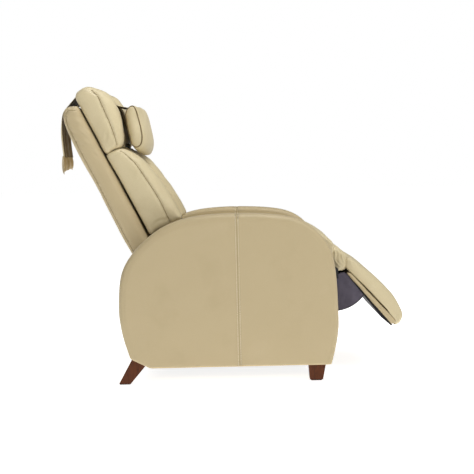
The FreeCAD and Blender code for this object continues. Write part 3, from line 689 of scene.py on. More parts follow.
PANEL_LEATHER = leather("panel_leather", "b9a883", "bfae8a", "b3a27d", creases=0.22)
CUSHION_LEATHER = leather("cushion_leather", "cdbf9a", "d8cba9", "bfb08a", creases=0.4)
SUEDE = leather("inner_suede", "94825e", "a3916c", "7b6b4c", grain=900.0, creases=0.2)
# The strap's underside: suede, darkened further as painted shade for the face that looks down.
FLAP_UNDERSIDE_SUEDE_AND_SHADE = leather("flap_underside_suede_and_shade", "77664a", "8a785a", "615238", grain=900.0, creases=0.2)
HEM_LEATHER = leather("hem_leather", "c8b58f", "d4c29b", "a9966f", grain=600.0)
PIPING = leather("piping_leather", "6f5e40", "8b7853", "54462e", grain=700.0, creases=0.1)
SHROUD = woven("shroud_cloth", "4c4752", "5a5561")
UNDERCLOTH = woven("black_cloth", "17171a", "232327", pitch=700.0)
# Painted shade: a thin dark tube sunk in each seam's valley stands in for the shadow there.
SEAM_SHADOW = plastic("seam_shadow", "85734f", "8f7d58", roughness=0.8)
# Painted shade, paler for the arms: a thin darker tube in the arm's middle seam valley stands in for its shadow.
ARM_SEAM_SHADOW = plastic("arm_seam", "a08f69", "ab9a74", roughness=0.8)
THREAD = woven("thread", "e4d9bb", "efe6cd", pitch=2500.0)
CUSHION_THREAD = woven("cushion_thread", "cdbd97", "dccfad", pitch=2500.0)
WOOD = wood("foot_wood", "341202", "5c2c08")
PLYWOOD = plywood("plywood")
BLACK_STEEL = metal("black_steel", "1c1d20", "2a2b2f", roughness=0.5, metallic=0.3)
BRIGHT_STEEL = metal("bright_steel", "b9bcc0", "cfd2d6", roughness=0.28)
MOTOR_PLASTIC = plastic("motor_plastic", "26272a", "3a3b3f")
ROLLER_PLASTIC = plastic("roller_plastic", "8f8a80", "a8a297", roughness=0.4)
BUTTON_PLASTIC = plastic("button_plastic", "b7a67f", "d6c9a6", roughness=0.35)
GLIDE_PLASTIC = plastic("glide_plastic", "2a2420", "3a322c", roughness=0.6)

CAD_FINISH = {
    "dark_wood": WOOD, "plywood": PLYWOOD, "black_steel": BLACK_STEEL, "bright_steel": BRIGHT_STEEL,
    "motor_plastic": MOTOR_PLASTIC, "roller_plastic": ROLLER_PLASTIC, "button_plastic": BUTTON_PLASTIC,
    "glide_plastic": GLIDE_PLASTIC, "panel_leather": PANEL_LEATHER, "cushion_leather": CUSHION_LEATHER,
    "shroud_fabric": SHROUD, "suede": SUEDE,
}
NODE_SLOT = {entry["node"]: entry["material_slot"] for entry in frame["record"]["subparts"]}


def dress(piece, material, body, replaced=()):
    """Give a piece its material and body, and hide the CAD parts that it replaces."""
    piece.data.materials.clear()
    piece.data.materials.append(material)
    if body:
        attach(piece, body)
    if replaced:
        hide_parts(*replaced)
    return piece


# ---------- camera, light and floor ----------

STUDIO_HALF = 30.0
CAMERA_PLACE = (DRAWING_X, -4.39, 0.8156)
CAMERA_TILT = math.radians(3.81)
CAMERA_ROLL = math.radians(1.3)
LENS = 82.1


def make_camera():
    data = bpy.data.cameras.new("camera")
    data.lens, data.sensor_width = LENS, 36.0
    data.clip_end = 50.0
    camera = bpy.data.objects.new("camera", data)
    ahead = Vector((0, math.cos(CAMERA_TILT), -math.sin(CAMERA_TILT)))
    up = Vector((0, math.sin(CAMERA_TILT), math.cos(CAMERA_TILT)))
    right = Vector((1, 0, 0))
    turned_right = right * math.cos(CAMERA_ROLL) - up * math.sin(CAMERA_ROLL)
    turned_up = right * math.sin(CAMERA_ROLL) + up * math.cos(CAMERA_ROLL)
    axes = Matrix((turned_right, turned_up, -ahead)).transposed().to_4x4()
    camera.matrix_world = Matrix.Translation(CAMERA_PLACE) @ axes
    bpy.context.scene.collection.objects.link(camera)
    bpy.context.scene.camera = camera


def area_light(name, place, target, size, power):
    data = bpy.data.lights.new(name, "AREA")
    data.shape, data.size, data.energy = "DISK", size, power
    light = bpy.data.objects.new(name, data)
    light.matrix_world = Matrix.Translation(place) @ (
        (Vector(target) - Vector(place)).to_track_quat("-Z", "Y").to_matrix().to_4x4())
    bpy.context.scene.collection.objects.link(light)


def make_studio():
    """Soft light, a floor that shines white, and surroundings that look brighter than they light."""
    make_camera()
    area_light("key", (2.4, -2.6, 3.0), (0, 0, 0.7), 1.4, 38)
    area_light("front", (-1.6, -4.2, 1.2), (-0.1, 0, 0.5), 2.6, 13)
    area_light("top", (0.5, -0.5, 3.3), (0, 0, 0.5), 1.6, 54)
    area_light("back", (-2.0, 3.0, 2.4), (0, 0, 0.6), 2.4, 30)
    world = bpy.data.worlds.new("studio")
    bpy.context.scene.world = world
    world.use_nodes = True
    sky = world.node_tree.nodes["Background"]
    sky.inputs["Color"].default_value = (1, 1, 1, 1)
    seen = world.node_tree.nodes.new("ShaderNodeLightPath").outputs["Is Camera Ray"]
    brighter = world.node_tree.nodes.new("ShaderNodeMapRange")
    brighter.inputs["To Min"].default_value = 0.2
    brighter.inputs["To Max"].default_value = 1.0
    world.node_tree.links.new(seen, brighter.inputs["Value"])
    world.node_tree.links.new(brighter.outputs["Result"], sky.inputs["Strength"])
    half = STUDIO_HALF
    floor = mesh_object("floor", [(-half, -half, 0), (half, -half, 0), (half, half, 0), (-half, half, 0)],
                        [(0, 1, 2, 3)], smooth=False)
    pale = Surface("floor_paint", roughness=0.9, specular=0.1)
    pale.base(pale.ramp(pale.noise(3.0), [(0.3, (0.93, 0.93, 0.93, 1)), (0.7, (0.95, 0.95, 0.95, 1))]))
    glow = pale.shader.inputs
    glow["Emission Color"].default_value = (1, 1, 1, 1)
    glow["Emission Strength"].default_value = 0.82
    floor.data.materials.append(pale.material)
    bpy.context.scene.view_settings.view_transform = "Standard"


# ---------- arms ----------

# The arch runs from low on the rear, over the top and down the front.
ARM_OUTLINE = [(-410, 98), (-439, 191), (-449, 300), (-426, 443), (-323, 561), (-185, 622), (19, 635),
               (212, 615), (312, 549), (361, 448), (374, 259), (370, 167), (344, 61)]
ARM_INNER_Y = 280.0
ARM_OUTER_Y = 390.0
ARM_FLOOR = 61
ARM_REAR_CORNER = (-335, ARM_FLOOR)
ARM_TOP = 634.5
ARM_STEP = 7.0
RIM_SEAM = 21.0


def arm_ring():
    """The arm's side outline, and how many of its points lie on the arch.

    Below the arch come a straight underside and a cut-off rear corner."""
    arch = curve_through(ARM_OUTLINE, ARM_STEP)
    under = resample(np.array([ARM_OUTLINE[-1], ARM_REAR_CORNER], float), ARM_STEP)
    rear = resample(np.array([ARM_REAR_CORNER, ARM_OUTLINE[0]], float), ARM_STEP)
    return np.vstack([arch[:-1], under[:-1], rear[:-1]]), len(arch) - 1


def make_arm(side, word):
    low, high = sorted((side * ARM_INNER_Y, side * ARM_OUTER_Y))
    ring, arch_points = arm_ring()

    def radius(a, b):
        return 6 + 18 * smoothstep(75, 180, b)

    piece = loft("arm_" + word, ring, low, high, radius, on_base, dome=2.0, step=9.0)
    remesh(piece, 5.0, rounds=5)
    arch = (ring + inward(ring) * RIM_SEAM)[:arch_points]
    rims = [on_base(arch[:, 0], arch[:, 1], np.full(len(arch), side * y)) for y in (ARM_OUTER_Y, ARM_INNER_Y)]
    heights = np.arange(66, 634, 5.0)
    outer = on_base(np.zeros(len(heights)), heights, np.full(len(heights), side * ARM_OUTER_Y))
    inner = on_base(np.zeros(60), np.linspace(600, 470, 60), np.full(60, side * ARM_INNER_Y))
    across = side * np.linspace(ARM_OUTER_Y - 6, ARM_INNER_Y + 6, 14)
    over = on_base(np.zeros(14), np.full(14, ARM_TOP), across)
    middle = np.vstack([outer, over, inner])
    rims = [resample(line, SEAM_STEP) for line in rims]
    push(piece, lambda p, n: 0.0011 * waves(p, 9, 0.09, 0.4, 5 + int(side)) * np.abs(n[:, 1]))
    groove(piece, rims, 1.3, 5.0, pucker=0.3, pitch=26.0)
    groove(piece, [resample(middle, SEAM_STEP)], 1.8, 4.5, pucker=0.4, pitch=15.0)
    finer(piece)
    dress(piece, PANEL_LEATHER, "base", ["arm_cover_" + word])
    # The arm's middle seam gets a thin tube of painted seam shade, with light double stitching.
    sew(piece, [middle], ARM_SEAM_SHADOW, THREAD, rows=(-5.0, 5.0), pitch=9.0, thick=1.7)


# ---------- cushions ----------

HEAD = [(-109, 527), (-110, 590), (-110, 640), (-110, 734), (-111, 760), (-100, 782), (-72, 796), (-42, 791),
        (-12, 765), (11, 734), (18, 696), (18, 658), (10, 622), (-2, 587), (-14, 558), (-30, 530), (-50, 518),
        (-80, 521)]
BACK = [(-112, 512), (-104, 524), (-70, 531), (-42, 524), (-24, 504), (-6, 474), (10, 446), (20, 400),
        (28, 350), (34, 290), (38, 240), (39, 200), (38, 172), (30, 164), (-15, 166), (-70, 168),
        (-107, 172), (-109, 200), (-109, 300), (-109, 420)]
CHANNEL = 114.0
CHANNEL_REAR = -33.0
CUSHIONS_MEET = 521.0
HALF_WIDTH = 255.0
CUSHION_SIDE = 250
SIDE_SEAM = 241
VALLEY_SEAM = 108


def shrunk(outline, amount, step=7.0, keep_behind=-100.0):
    """A smooth closed outline, drawn in by amount except where it lies on the shell."""
    ring = curve_through(outline, step, closed=True)
    free = smoothstep(keep_behind, keep_behind + 20, ring[:, 0])
    return ring + inward(ring) * (amount * free)[:, None]


def channelled(valley):
    """A shape for the back's cushions: a soft valley down the middle, hollow behind for the rollers.

    The valley fades out where the two cushions meet, and there they reach towards each other."""
    def shape(points):
        a, b, y = points[:, 0].copy(), points[:, 1].copy(), points[:, 2]
        dip = 1 - smoothstep(58, 152, np.abs(y))
        meeting = 1 - smoothstep(45, 120, np.abs(b - CUSHIONS_MEET))
        a = a - valley * dip * (1 - 0.9 * meeting) * smoothstep(-75, 5, a)
        b += np.sign(CUSHIONS_MEET - b) * 10 * meeting * dip
        in_channel = 1 - smoothstep(CHANNEL - 3, CHANNEL + 3, np.abs(y))
        a = a + np.maximum(CHANNEL_REAR - a, 0) * in_channel
        return np.column_stack([a, b, y])
    return shape


def local_back(points):
    """(depth, height, y) in millimetres of world points."""
    away = (points - BACK_HINGE) / MM
    return away @ OFF_THE_BACK, away @ UP_THE_BACK, points[:, 1] / MM


def back_cushion_radius(a, b):
    return 18 + 30 * smoothstep(-90, 0, a) * smoothstep(170, 290, b)


def make_back_pad(name, outline, seams, valley_lines, nodes, seed, creases):
    """One of the back's two cushions, with its seams, sewn valley and creases."""
    ring = shrunk(outline, 7.0)
    piece = loft(name, ring, -HALF_WIDTH + 6, HALF_WIDTH - 6, back_cushion_radius, on_back, dome=3.0,
                 shape=channelled(38.0), step=12.0)
    remesh(piece, 6.0, rounds=4)
    points = coordinates(piece)
    a, _, y = local_back(points)
    behind = normals(piece) @ OFF_THE_BACK < 0.2
    held = (a < -96) | ((np.abs(y) < CHANNEL + 8) & (a < -22) & behind)
    distance, _ = near_lines(points, seams + valley_lines)
    held |= distance < 0.006
    inflate(piece, held, 13.0)
    push(piece, lambda p, n: 0.0012 * waves(p, 10, 0.05, 0.22, seed) * np.clip(n @ OFF_THE_BACK + 0.4, 0, 1))
    placed = sewn_onto(piece, seams + valley_lines)
    groove(piece, placed[:len(seams)], 3.4, 5.5, pucker=1.6, pitch=19.0)
    groove(piece, placed[len(seams):], 2.6, 6.0, pucker=1.2, pitch=24.0)
    crumple(piece, creases)
    finer(piece)
    dress(piece, CUSHION_LEATHER, "back", nodes)
    double_stitched(piece, placed)
    return piece


def make_head_cushion():
    seams = both_sides([[(-52, 531), (-50, 552), (-46, 575), (-39, 617), (-34, 680), (-30, 730), (-34, 770)]],
                       SIDE_SEAM, on_back, 5.0)
    valley = both_sides([[(-40, 540), (-24, 590), (-8, 650), (-8, 700), (-20, 745), (-45, 776)]],
                        VALLEY_SEAM, on_back, 5.0)
    creases = both_sides([[(-46, 588), (-56, 562), (-72, 545)], [(-44, 574), (-50, 552), (-58, 536)],
                          [(-32, 580), (-28, 560), (-32, 544)], [(-60, 600), (-78, 575), (-90, 562)]],
                         CUSHION_SIDE, on_back)
    return make_back_pad("head_cushion", HEAD, seams, valley,
                         ["head_bolster_right", "head_bolster_left", "head_centre_pad"], 21, creases)


def make_back_cushion():
    seams = both_sides([[(-15, 180), (-13, 230), (-13, 288), (-16, 340), (-20, 386), (-27, 440), (-38, 490),
                         (-52, 512)]], SIDE_SEAM, on_back, 5.0)
    valley = both_sides([[(8, 185), (8, 265), (0, 358), (-16, 430), (-36, 485)]], VALLEY_SEAM, on_back, 5.0)
    creases = both_sides([[(-30, 500), (-52, 508), (-76, 506)], [(-26, 478), (-44, 488), (-60, 490)],
                          [(-20, 196), (-52, 205), (-84, 200)]], CUSHION_SIDE, on_back)
    return make_back_pad("back_cushion", BACK, seams, valley,
                         ["back_bolster_right", "back_bolster_left", "back_centre_pad"], 22, creases)


def make_lower_pad():
    outline = [(-33, 44), (-33, 158), (-18, 165), (4, 162), (13, 140), (15, 105), (12, 62), (2, 42),
               (-18, 37)]
    ring = curve_through(outline, 7.0, closed=True)
    reach = HALF_WIDTH - 3
    piece = loft("lower_back_pad_cover", ring, -reach, reach, 18.0, on_back, dome=2.0, step=12.0)
    remesh(piece, 6.0)
    push(piece, lambda p, n: 0.0014 * waves(p, 8, 0.05, 0.2, 31))
    lines = []
    for y in (-120, 0, 120):
        lines.append(on_back(np.full(20, 13.0), np.linspace(50, 160, 20), np.full(20, float(y))))
    groove(piece, lines, 4.0, 7.0, pucker=1.0)
    finer(piece)
    dress(piece, CUSHION_LEATHER, "back", ["lower_back_pad"])
    sew(piece, lines, SEAM_SHADOW)


# ---------- seat ----------

SEAT = [(-116, 492), (-60, 509), (72, 540), (200, 571), (254, 585), (282, 583), (308, 570), (346, 538),
        (366, 514), (372, 488), (364, 466), (350, 462), (337, 468), (332, 492), (300, 489), (100, 443),
        (-60, 406), (-116, 396), (-119, 420), (-120, 470)]


SEAT_REAR = -118
SEAT_UNDER = 395
SEAT_RISE = 0.2309
SEAT_SEAM = 205.0


def seat_height(x, z):
    """How far z lies above the deck that the seat rests on."""
    return z - (SEAT_UNDER + (x - SEAT_REAR) * SEAT_RISE)


def make_seat():
    ring = curve_through(SEAT, 7.0, closed=True)
    top = smoothstep(0, 40, seat_height(ring[:, 0], ring[:, 1]))
    ring = ring + inward(ring) * (7.0 * top)[:, None]

    def radius(a, b):
        return 10 + 24 * smoothstep(25, 75, seat_height(a, b))

    piece = loft("seat_cushion_cover", ring, -266, 266, radius, on_base, dome=2.0, step=12.0)
    remesh(piece, 6.0)
    points = coordinates(piece)
    above = seat_height((points[:, 0] - DRAWING_X) / MM, points[:, 2] / MM)
    run = np.linspace(-70, 262, 60)
    height = 100 - seat_height(run, 0)
    sides = [on_base(run, height, np.full(60, side * SEAT_SEAM)) for side in (-1, 1)]
    nose = [on_base(np.full(60, 268.0), np.full(60, 583.0), np.linspace(-SEAT_SEAM, SEAT_SEAM, 60))]
    lines = sides + nose
    distance, _ = near_lines(points, lines)
    inflate(piece, (above < 22) | (distance < 0.006), 13.0)
    push(piece, lambda p, n: 0.0016 * waves(p, 10, 0.06, 0.25, 41) * np.clip(n[:, 2] + 0.3, 0, 1))
    placed = sewn_onto(piece, lines)
    groove(piece, placed, 3.2, 6.0, pucker=1.5, pitch=21.0)
    finer(piece)
    dress(piece, CUSHION_LEATHER, "base", ["seat_cushion"])
    double_stitched(piece, placed)


def make_knee_cover():
    """Gathered cover between the seat's nose and the calf cushion, at the leg rest's hinge."""
    outline = [(352, 480), (368, 494), (388, 487), (404, 474), (420, 456), (424, 434), (417, 413), (406, 402),
               (392, 399), (376, 406), (366, 424), (354, 448)]
    ring = curve_through(outline, 5.0, closed=True)
    piece = loft("knee_cover", ring, -256, 256, 14.0, on_base, dome=2.0, step=8.0)
    remesh(piece, 4.5, rounds=3)

    def gathers(p, n):
        y = p[:, 1]
        ripple = np.sin(y * 2 * math.pi / 0.034 + 1.7 * np.sin(y * 2 * math.pi / 0.13))
        centre = on_base([430], [462], [0])[0]
        away = np.hypot(p[:, 0] - centre[0], p[:, 2] - centre[2])
        folds = np.sin(away * 2 * math.pi / 0.0135 + 1.2 * np.sin(p[:, 2] * 2 * math.pi / 0.05))
        ends = np.abs(n[:, 1]) ** 2
        return (0.0019 * ripple * np.clip(n[:, 0] + 0.6, 0, 1) * (1 - ends) + 0.0017 * folds * ends
                + 0.0014 * waves(p, 10, 0.02, 0.07, 51))

    push(piece, gathers)
    finer(piece)
    dress(piece, CUSHION_LEATHER, None, ["knee_roll"])
    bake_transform(piece)


def make_hip_cover():
    """Cover across the gap between the seat and the foot of the back."""
    outline = [(-166, 486), (-150, 495), (-130, 497), (-112, 490), (-106, 476), (-116, 464), (-136, 458),
               (-156, 462), (-168, 472)]
    ring = curve_through(outline, 5.0, closed=True)
    piece = loft("hip_cover", ring, -254, 254, 12.0, on_base, dome=1.0, step=8.0)
    remesh(piece, 5.0, rounds=3)
    push(piece, lambda p, n: 0.0015 * waves(p, 10, 0.03, 0.1, 61))
    finer(piece)
    dress(piece, SUEDE, None)
    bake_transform(piece)


# ---------- leg rest ----------

LEG = [(30, 48), (14, 52), (1, 64), (-4, 80), (3, 93), (28, 100), (80, 106), (134, 110), (190, 111),
       (240, 106), (288, 92), (321, 73), (337, 56), (342, 41), (337, 28), (322, 19), (309, 17),
       (306, 26), (304, 38), (200, 44.5), (120, 48)]


def make_calf_cushion():
    ring = curve_through(LEG, 7.0, closed=True)
    over = smoothstep(52, 66, ring[:, 1]) * smoothstep(-10, 30, ring[:, 0])
    ring = ring + inward(ring) * (7.0 * over)[:, None]

    def shape(points):
        a, b, y = points[:, 0].copy(), points[:, 1].copy(), points[:, 2]
        edge = np.abs(y / 262) ** 3
        a = np.where(a > 306, 306 + (a - 306) * (1 - 0.86 * edge), a)
        b -= 4.0 * edge * smoothstep(60, 80, b)
        return np.column_stack([a, b, y])

    def radius(a, b):
        return 5 + 23 * smoothstep(56, 84, b) * smoothstep(0, 90, a)

    piece = loft("calf_cushion", ring, -258, 258, radius, on_leg, dome=2.0, shape=shape, step=12.0)
    remesh(piece, 6.0)
    points = coordinates(piece)
    away = (points - LEG_HINGE) / MM
    s, n = away @ DOWN_THE_LEG, away @ OFF_THE_LEG
    run = np.linspace(5, 322, 60)
    height = np.interp(run, [0, 134, 240, 330], [84, 95, 91, 74])
    sides = [on_leg(run, height, np.full(60, side * SEAT_SEAM)) for side in (-1, 1)]
    distance, _ = near_lines(points, sides)
    inflate(piece, (n < 53) | (distance < 0.006) | (s < 4), 12.0)
    push(piece, lambda p, out: 0.0016 * waves(p, 10, 0.05, 0.2, 71) * np.clip(out @ OFF_THE_LEG + 0.2, 0, 1))
    placed = sewn_onto(piece, sides)
    groove(piece, placed, 3.2, 6.0, pucker=1.6, pitch=20.0)
    crumple(piece, both_sides([[(262, 74), (285, 66), (300, 55)], [(275, 62), (294, 54), (305, 44)],
                               [(2, 84), (16, 72), (34, 64)], [(-6, 74), (10, 64), (26, 58)],
                               [(14, 88), (34, 78), (60, 72)]], 258, on_leg))
    finer(piece)
    dress(piece, CUSHION_LEATHER, "leg_rest", ["leg_cushion"])
    double_stitched(piece, placed)


def make_leg_board():
    """Leather-wrapped board under the calf cushion, with a black cloth underside."""
    board = [(42, 45), (62, 47.5), (180, 42), (296, 37), (303, 33), (305, 25), (300, 16), (288, 15),
             (170, 25), (60, 34.5), (34, 37.5)]
    ring = curve_through(board, 5.0, closed=True)
    piece = loft("leg_board_cover", ring, -259, 259, 5.0, on_leg, dome=1.5, step=12.0)
    remesh(piece, 4.5, rounds=2)
    push(piece, lambda p, n: 0.0006 * waves(p, 8, 0.04, 0.2, 72))
    finer(piece)
    dress(piece, PANEL_LEATHER, "leg_rest", ["leg_board"])
    under = [(60, 31.0), (150, 20.0), (250, 6.0), (303, 9.0), (303, 15.5), (40, 37.2)]
    ring = resample(np.array(under + under[:1], float), 6.0, closed=True)
    cloth = loft("leg_board_underside", ring, -252, 252, 0.8, on_leg, step=40.0)
    dress(cloth, UNDERCLOTH, "leg_rest")


# ---------- shell, panels, pillow ----------

SHELL_SIDE = 268
SHELL_CREASES = [[(-142, 665), (-137, 640), (-128, 610)], [(-152, 648), (-147, 620), (-138, 586)],
                 [(-160, 630), (-154, 600), (-144, 572)], [(-167, 612), (-160, 585), (-150, 560)],
                 [(-150, 560), (-140, 535), (-130, 515)]]


def make_shell():
    """Leather-covered back shell with a seam round its top."""
    rear = curve_through([(-207, 104), (-206, 200), (-202, 300), (-199, 400), (-199, 500), (-198, 620),
                          (-192, 690), (-183, 722), (-171, 739), (-158, 748)], 7.0)
    top = resample(np.array([(-158, 748), (-148, 748), (-122, 740), (-115, 731)], float), 7.0)
    front = resample(np.array([(-115, 731), (-116, 104)], float), 7.0)
    under = resample(np.array([(-116, 104), (-130, 100), (-194, 100), (-207, 104)], float), 7.0)
    ring = np.vstack([rear[:-1], top[:-1], front[:-1], under[:-1]])

    def radius(a, b):
        return 22 + 14 * smoothstep(-150, -125, a) - 12 * smoothstep(690, 740, b)

    piece = loft("back_shell_cover", ring, -SHELL_SIDE, SHELL_SIDE, radius, on_back, dome=2.0, step=12.0)
    remesh(piece, 6.0)

    def drape(p, n):
        a, b, y = local_back(p)
        high = smoothstep(430, 700, b)
        slant = (b + 1.1 * a) / 46 + 0.8 * np.sin(y / 60)
        pulls = np.sin(slant * 2 * math.pi / 1.0) * high * np.abs(n[:, 1]) ** 2
        return 0.0016 * waves(p, 10, 0.08, 0.35, 81) + 0.0013 * pulls

    push(piece, drape)
    turn = on_back(np.array([-182, -172, -158, -146, -124]), np.array([700, 722, 736, 734, 723]),
                   np.full(5, SHELL_SIDE))
    lines = []
    for side in (-1, 1):
        low = on_back(np.linspace(-196, -184, 50), np.linspace(110, 690, 50), np.full(50, side * SHELL_SIDE))
        lines.append(np.vstack([low, turn * [1, side, 1]]))
    lines.append(on_back(np.full(50, -196.0), np.full(50, 400.0), np.linspace(-240, 240, 50)))
    placed = sewn_onto(piece, lines)
    groove(piece, placed, 2.2, 5.0, pucker=0.9, pitch=22.0)
    crumple(piece, both_sides(SHELL_CREASES, SHELL_SIDE, on_back), depth=2.2, width=5.0)
    finer(piece)
    dress(piece, PANEL_LEATHER, "back", ["back_shell"])
    sew(piece, placed, SEAM_SHADOW, CUSHION_THREAD, rows=(-3.5, 3.5), pitch=6.0, sink=0.2)


def make_panel(node, name, seed, hole=None):
    """A leather-covered board between the arms, with a slightly crowned face and a hole if it has one."""
    low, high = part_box(node)
    columns = np.linspace(low.y, high.y, 60)
    rows = np.linspace(low.z, high.z, 30)
    if hole:
        hole_low, hole_high = hole
        columns = np.unique(np.concatenate([columns, [hole_low.y, hole_high.y]]))
        rows = np.unique(np.concatenate([rows, [hole_low.z, hole_high.z]]))
    points, faces, index = [], [], {}

    def vertex(i, j, front):
        key = (i, j, front)
        if key not in index:
            index[key] = len(points)
            u = 2 * i / (len(columns) - 1) - 1
            v = 2 * j / (len(rows) - 1) - 1
            crown = 0.005 * (1 - u ** 8) * (1 - v ** 4)
            x = high.x + crown if front else low.x - crown
            points.append((x, columns[i], rows[j]))
        return index[key]

    def open_cell(i, j):
        if not hole:
            return False
        y, z = (columns[i] + columns[i + 1]) / 2, (rows[j] + rows[j + 1]) / 2
        return hole_low.y < y < hole_high.y and hole_low.z < z < hole_high.z

    cells = {(i, j) for i in range(len(columns) - 1) for j in range(len(rows) - 1) if not open_cell(i, j)}
    for i, j in cells:
        faces.append([vertex(*c, True) for c in ((i, j), (i + 1, j), (i + 1, j + 1), (i, j + 1))])
        faces.append([vertex(*c, False) for c in ((i, j + 1), (i + 1, j + 1), (i + 1, j), (i, j))])
        for (di, dj), (p, q) in (((-1, 0), ((i, j + 1), (i, j))), ((1, 0), ((i + 1, j), (i + 1, j + 1))),
                                 ((0, -1), ((i, j), (i + 1, j))), ((0, 1), ((i + 1, j + 1), (i, j + 1)))):
            if (i + di, j + dj) not in cells:
                faces.append([vertex(*p, True), vertex(*p, False), vertex(*q, False), vertex(*q, True)])
    piece = mesh_object(name, points, faces)
    face_outwards(piece)
    push(piece, lambda p, n: 0.0007 * waves(p, 8, 0.06, 0.3, seed) * np.abs(n[:, 0]))
    edge = piece.modifiers.new("edge", "BEVEL")
    edge.width, edge.segments, edge.limit_method = 0.003, 3, "ANGLE"
    dress(piece, PANEL_LEATHER, "base", [node])


PILLOW_END = [(63, 655), (28, 646), (8, 605), (-6, 560), (-16, 522), (-6, 498), (16, 492), (38, 510),
              (54, 548), (65, 590), (73, 632)]
PILLOW_HALF_WIDTH = 168.0


def make_pillow():
    ring = curve_through(PILLOW_END, 5.0, closed=True)
    centre = ring.mean(0)
    ring = ring + inward(ring) * 4.0

    def shape(points):
        a, b, y = points[:, 0], points[:, 1], points[:, 2]
        full = np.clip(1 - (y / PILLOW_HALF_WIDTH) ** 2, 0, 1) ** 0.6
        lower = smoothstep(30, -60, b - centre[1])
        a = centre[0] + (a - centre[0]) * (1 + 0.3 * full) + (9 + 5 * lower) * full
        b = centre[1] + (b - centre[1]) * (1 + 0.16 * full) - 28 * full
        return np.column_stack([a, b, y])

    piece = loft("pillow_cover", ring, -PILLOW_HALF_WIDTH, PILLOW_HALF_WIDTH, 9.0, on_back,
                 dome=9.0, shape=shape, step=8.0)
    remesh(piece, 5.0, rounds=3)
    rims = []
    for side in (-1, 1):
        rims.append(on_back(ring[:, 0], ring[:, 1], np.full(len(ring), side * (PILLOW_HALF_WIDTH - 5.0))))
    rims = [np.vstack([rim, rim[:1]]) for rim in rims]
    distance, _ = near_lines(coordinates(piece), [resample(rim, 0.003) for rim in rims])
    inflate(piece, distance < 0.006, 9.0)
    push(piece, lambda p, n: 0.0011 * waves(p, 10, 0.04, 0.14, 91))
    rims = sewn_onto(piece, rims)
    groove(piece, rims, 1.5, 6.0, pucker=1.5, pitch=15.0)
    finer(piece)
    dress(piece, CUSHION_LEATHER, "pillow", ["neck_pillow"])
    cords = Collected()
    for rim in rims:
        places, out = on_surface(piece, rim)
        cords.add(*tube(places[:-1] + out[:-1] * 1.2 * MM, 2.3 * MM, 8, closed=True))
    cords.build("pillow_piping", piece, PIPING)
    return piece


STRAP_OVER_HEAD = [(48, 636), (38, 653), (20, 672), (4, 692), (-2, 716), (-14, 745), (-38, 774),
                   (-70, 789), (-110, 784)]
STRAP_CENTRE = (-60, 690)
STRAP_DIP = 12.0
STRAP_OFF_SHELL = (-186, 757)
STRAP_HANG = [(-677, 1016), (-680, 980), (-680, 943), (-677, 900), (-673, 862)]
STRAP_HALF_WIDTH = 125.0
STRAP_HALF_THICK = 1.1
RAY_START = 200.0
HEM_DROP = 0.06
HEM_POINTS = 0.01
HEM_SLANT = 0.016
HEM_HALF_THICK = 0.0066
HEM_OVERLAP = 0.006


def strap_ripple(columns):
    """How far the hanging end's soft folds stand out, in metres."""
    return (3.2 * np.sin(columns * 7.1 + 0.7) + 2.2 * np.sin(columns * 15.3 + 2.0)) * MM


def laid_on(pieces, route, columns):
    """Rows of the strap over the head: each point on its ray from inside the cushion, on what it meets."""
    graph = bpy.context.evaluated_depsgraph_get()
    trees = [BVHTree.FromObject(piece, graph) for piece in pieces]
    away = route - np.array(STRAP_CENTRE)
    reach = np.linalg.norm(away, axis=1)
    away /= reach[:, None]
    ray = -(away[:, :1] * OFF_THE_BACK + away[:, 1:] * UP_THE_BACK)
    found = np.zeros((len(route), len(columns)))
    for j, across in enumerate(columns * STRAP_HALF_WIDTH):
        far = np.array(STRAP_CENTRE) + away * RAY_START
        start = on_back(far[:, 0], far[:, 1], np.full(len(far), across))
        for k in range(len(route)):
            gaps = [tree.ray_cast(Vector(start[k]), Vector(ray[k]))[3] for tree in trees]
            gaps = [gap for gap in gaps if gap is not None]
            found[k, j] = min(RAY_START - min(gaps) / MM, reach[k] + STRAP_DIP) if gaps else reach[k]
            found[k, j] = max(found[k, j], reach[k] - STRAP_DIP * smoothstep(-55, 0, route[k, 0]))
    highest = found.copy()
    for _ in range(12):
        found[1:-1] = (found[:-2] + 2 * found[1:-1] + found[2:]) / 4
        found[:, 1:-1] = (found[:, :-2] + 2 * found[:, 1:-1] + found[:, 2:]) / 4
        found = np.maximum(found, highest)
    rows = []
    for k in range(len(route)):
        spot = np.array(STRAP_CENTRE) + away[k] * (found[k] + 2 * STRAP_HALF_THICK)[:, None]
        rows.append(on_back(spot[:, 0], spot[:, 1], columns * STRAP_HALF_WIDTH))
    return rows


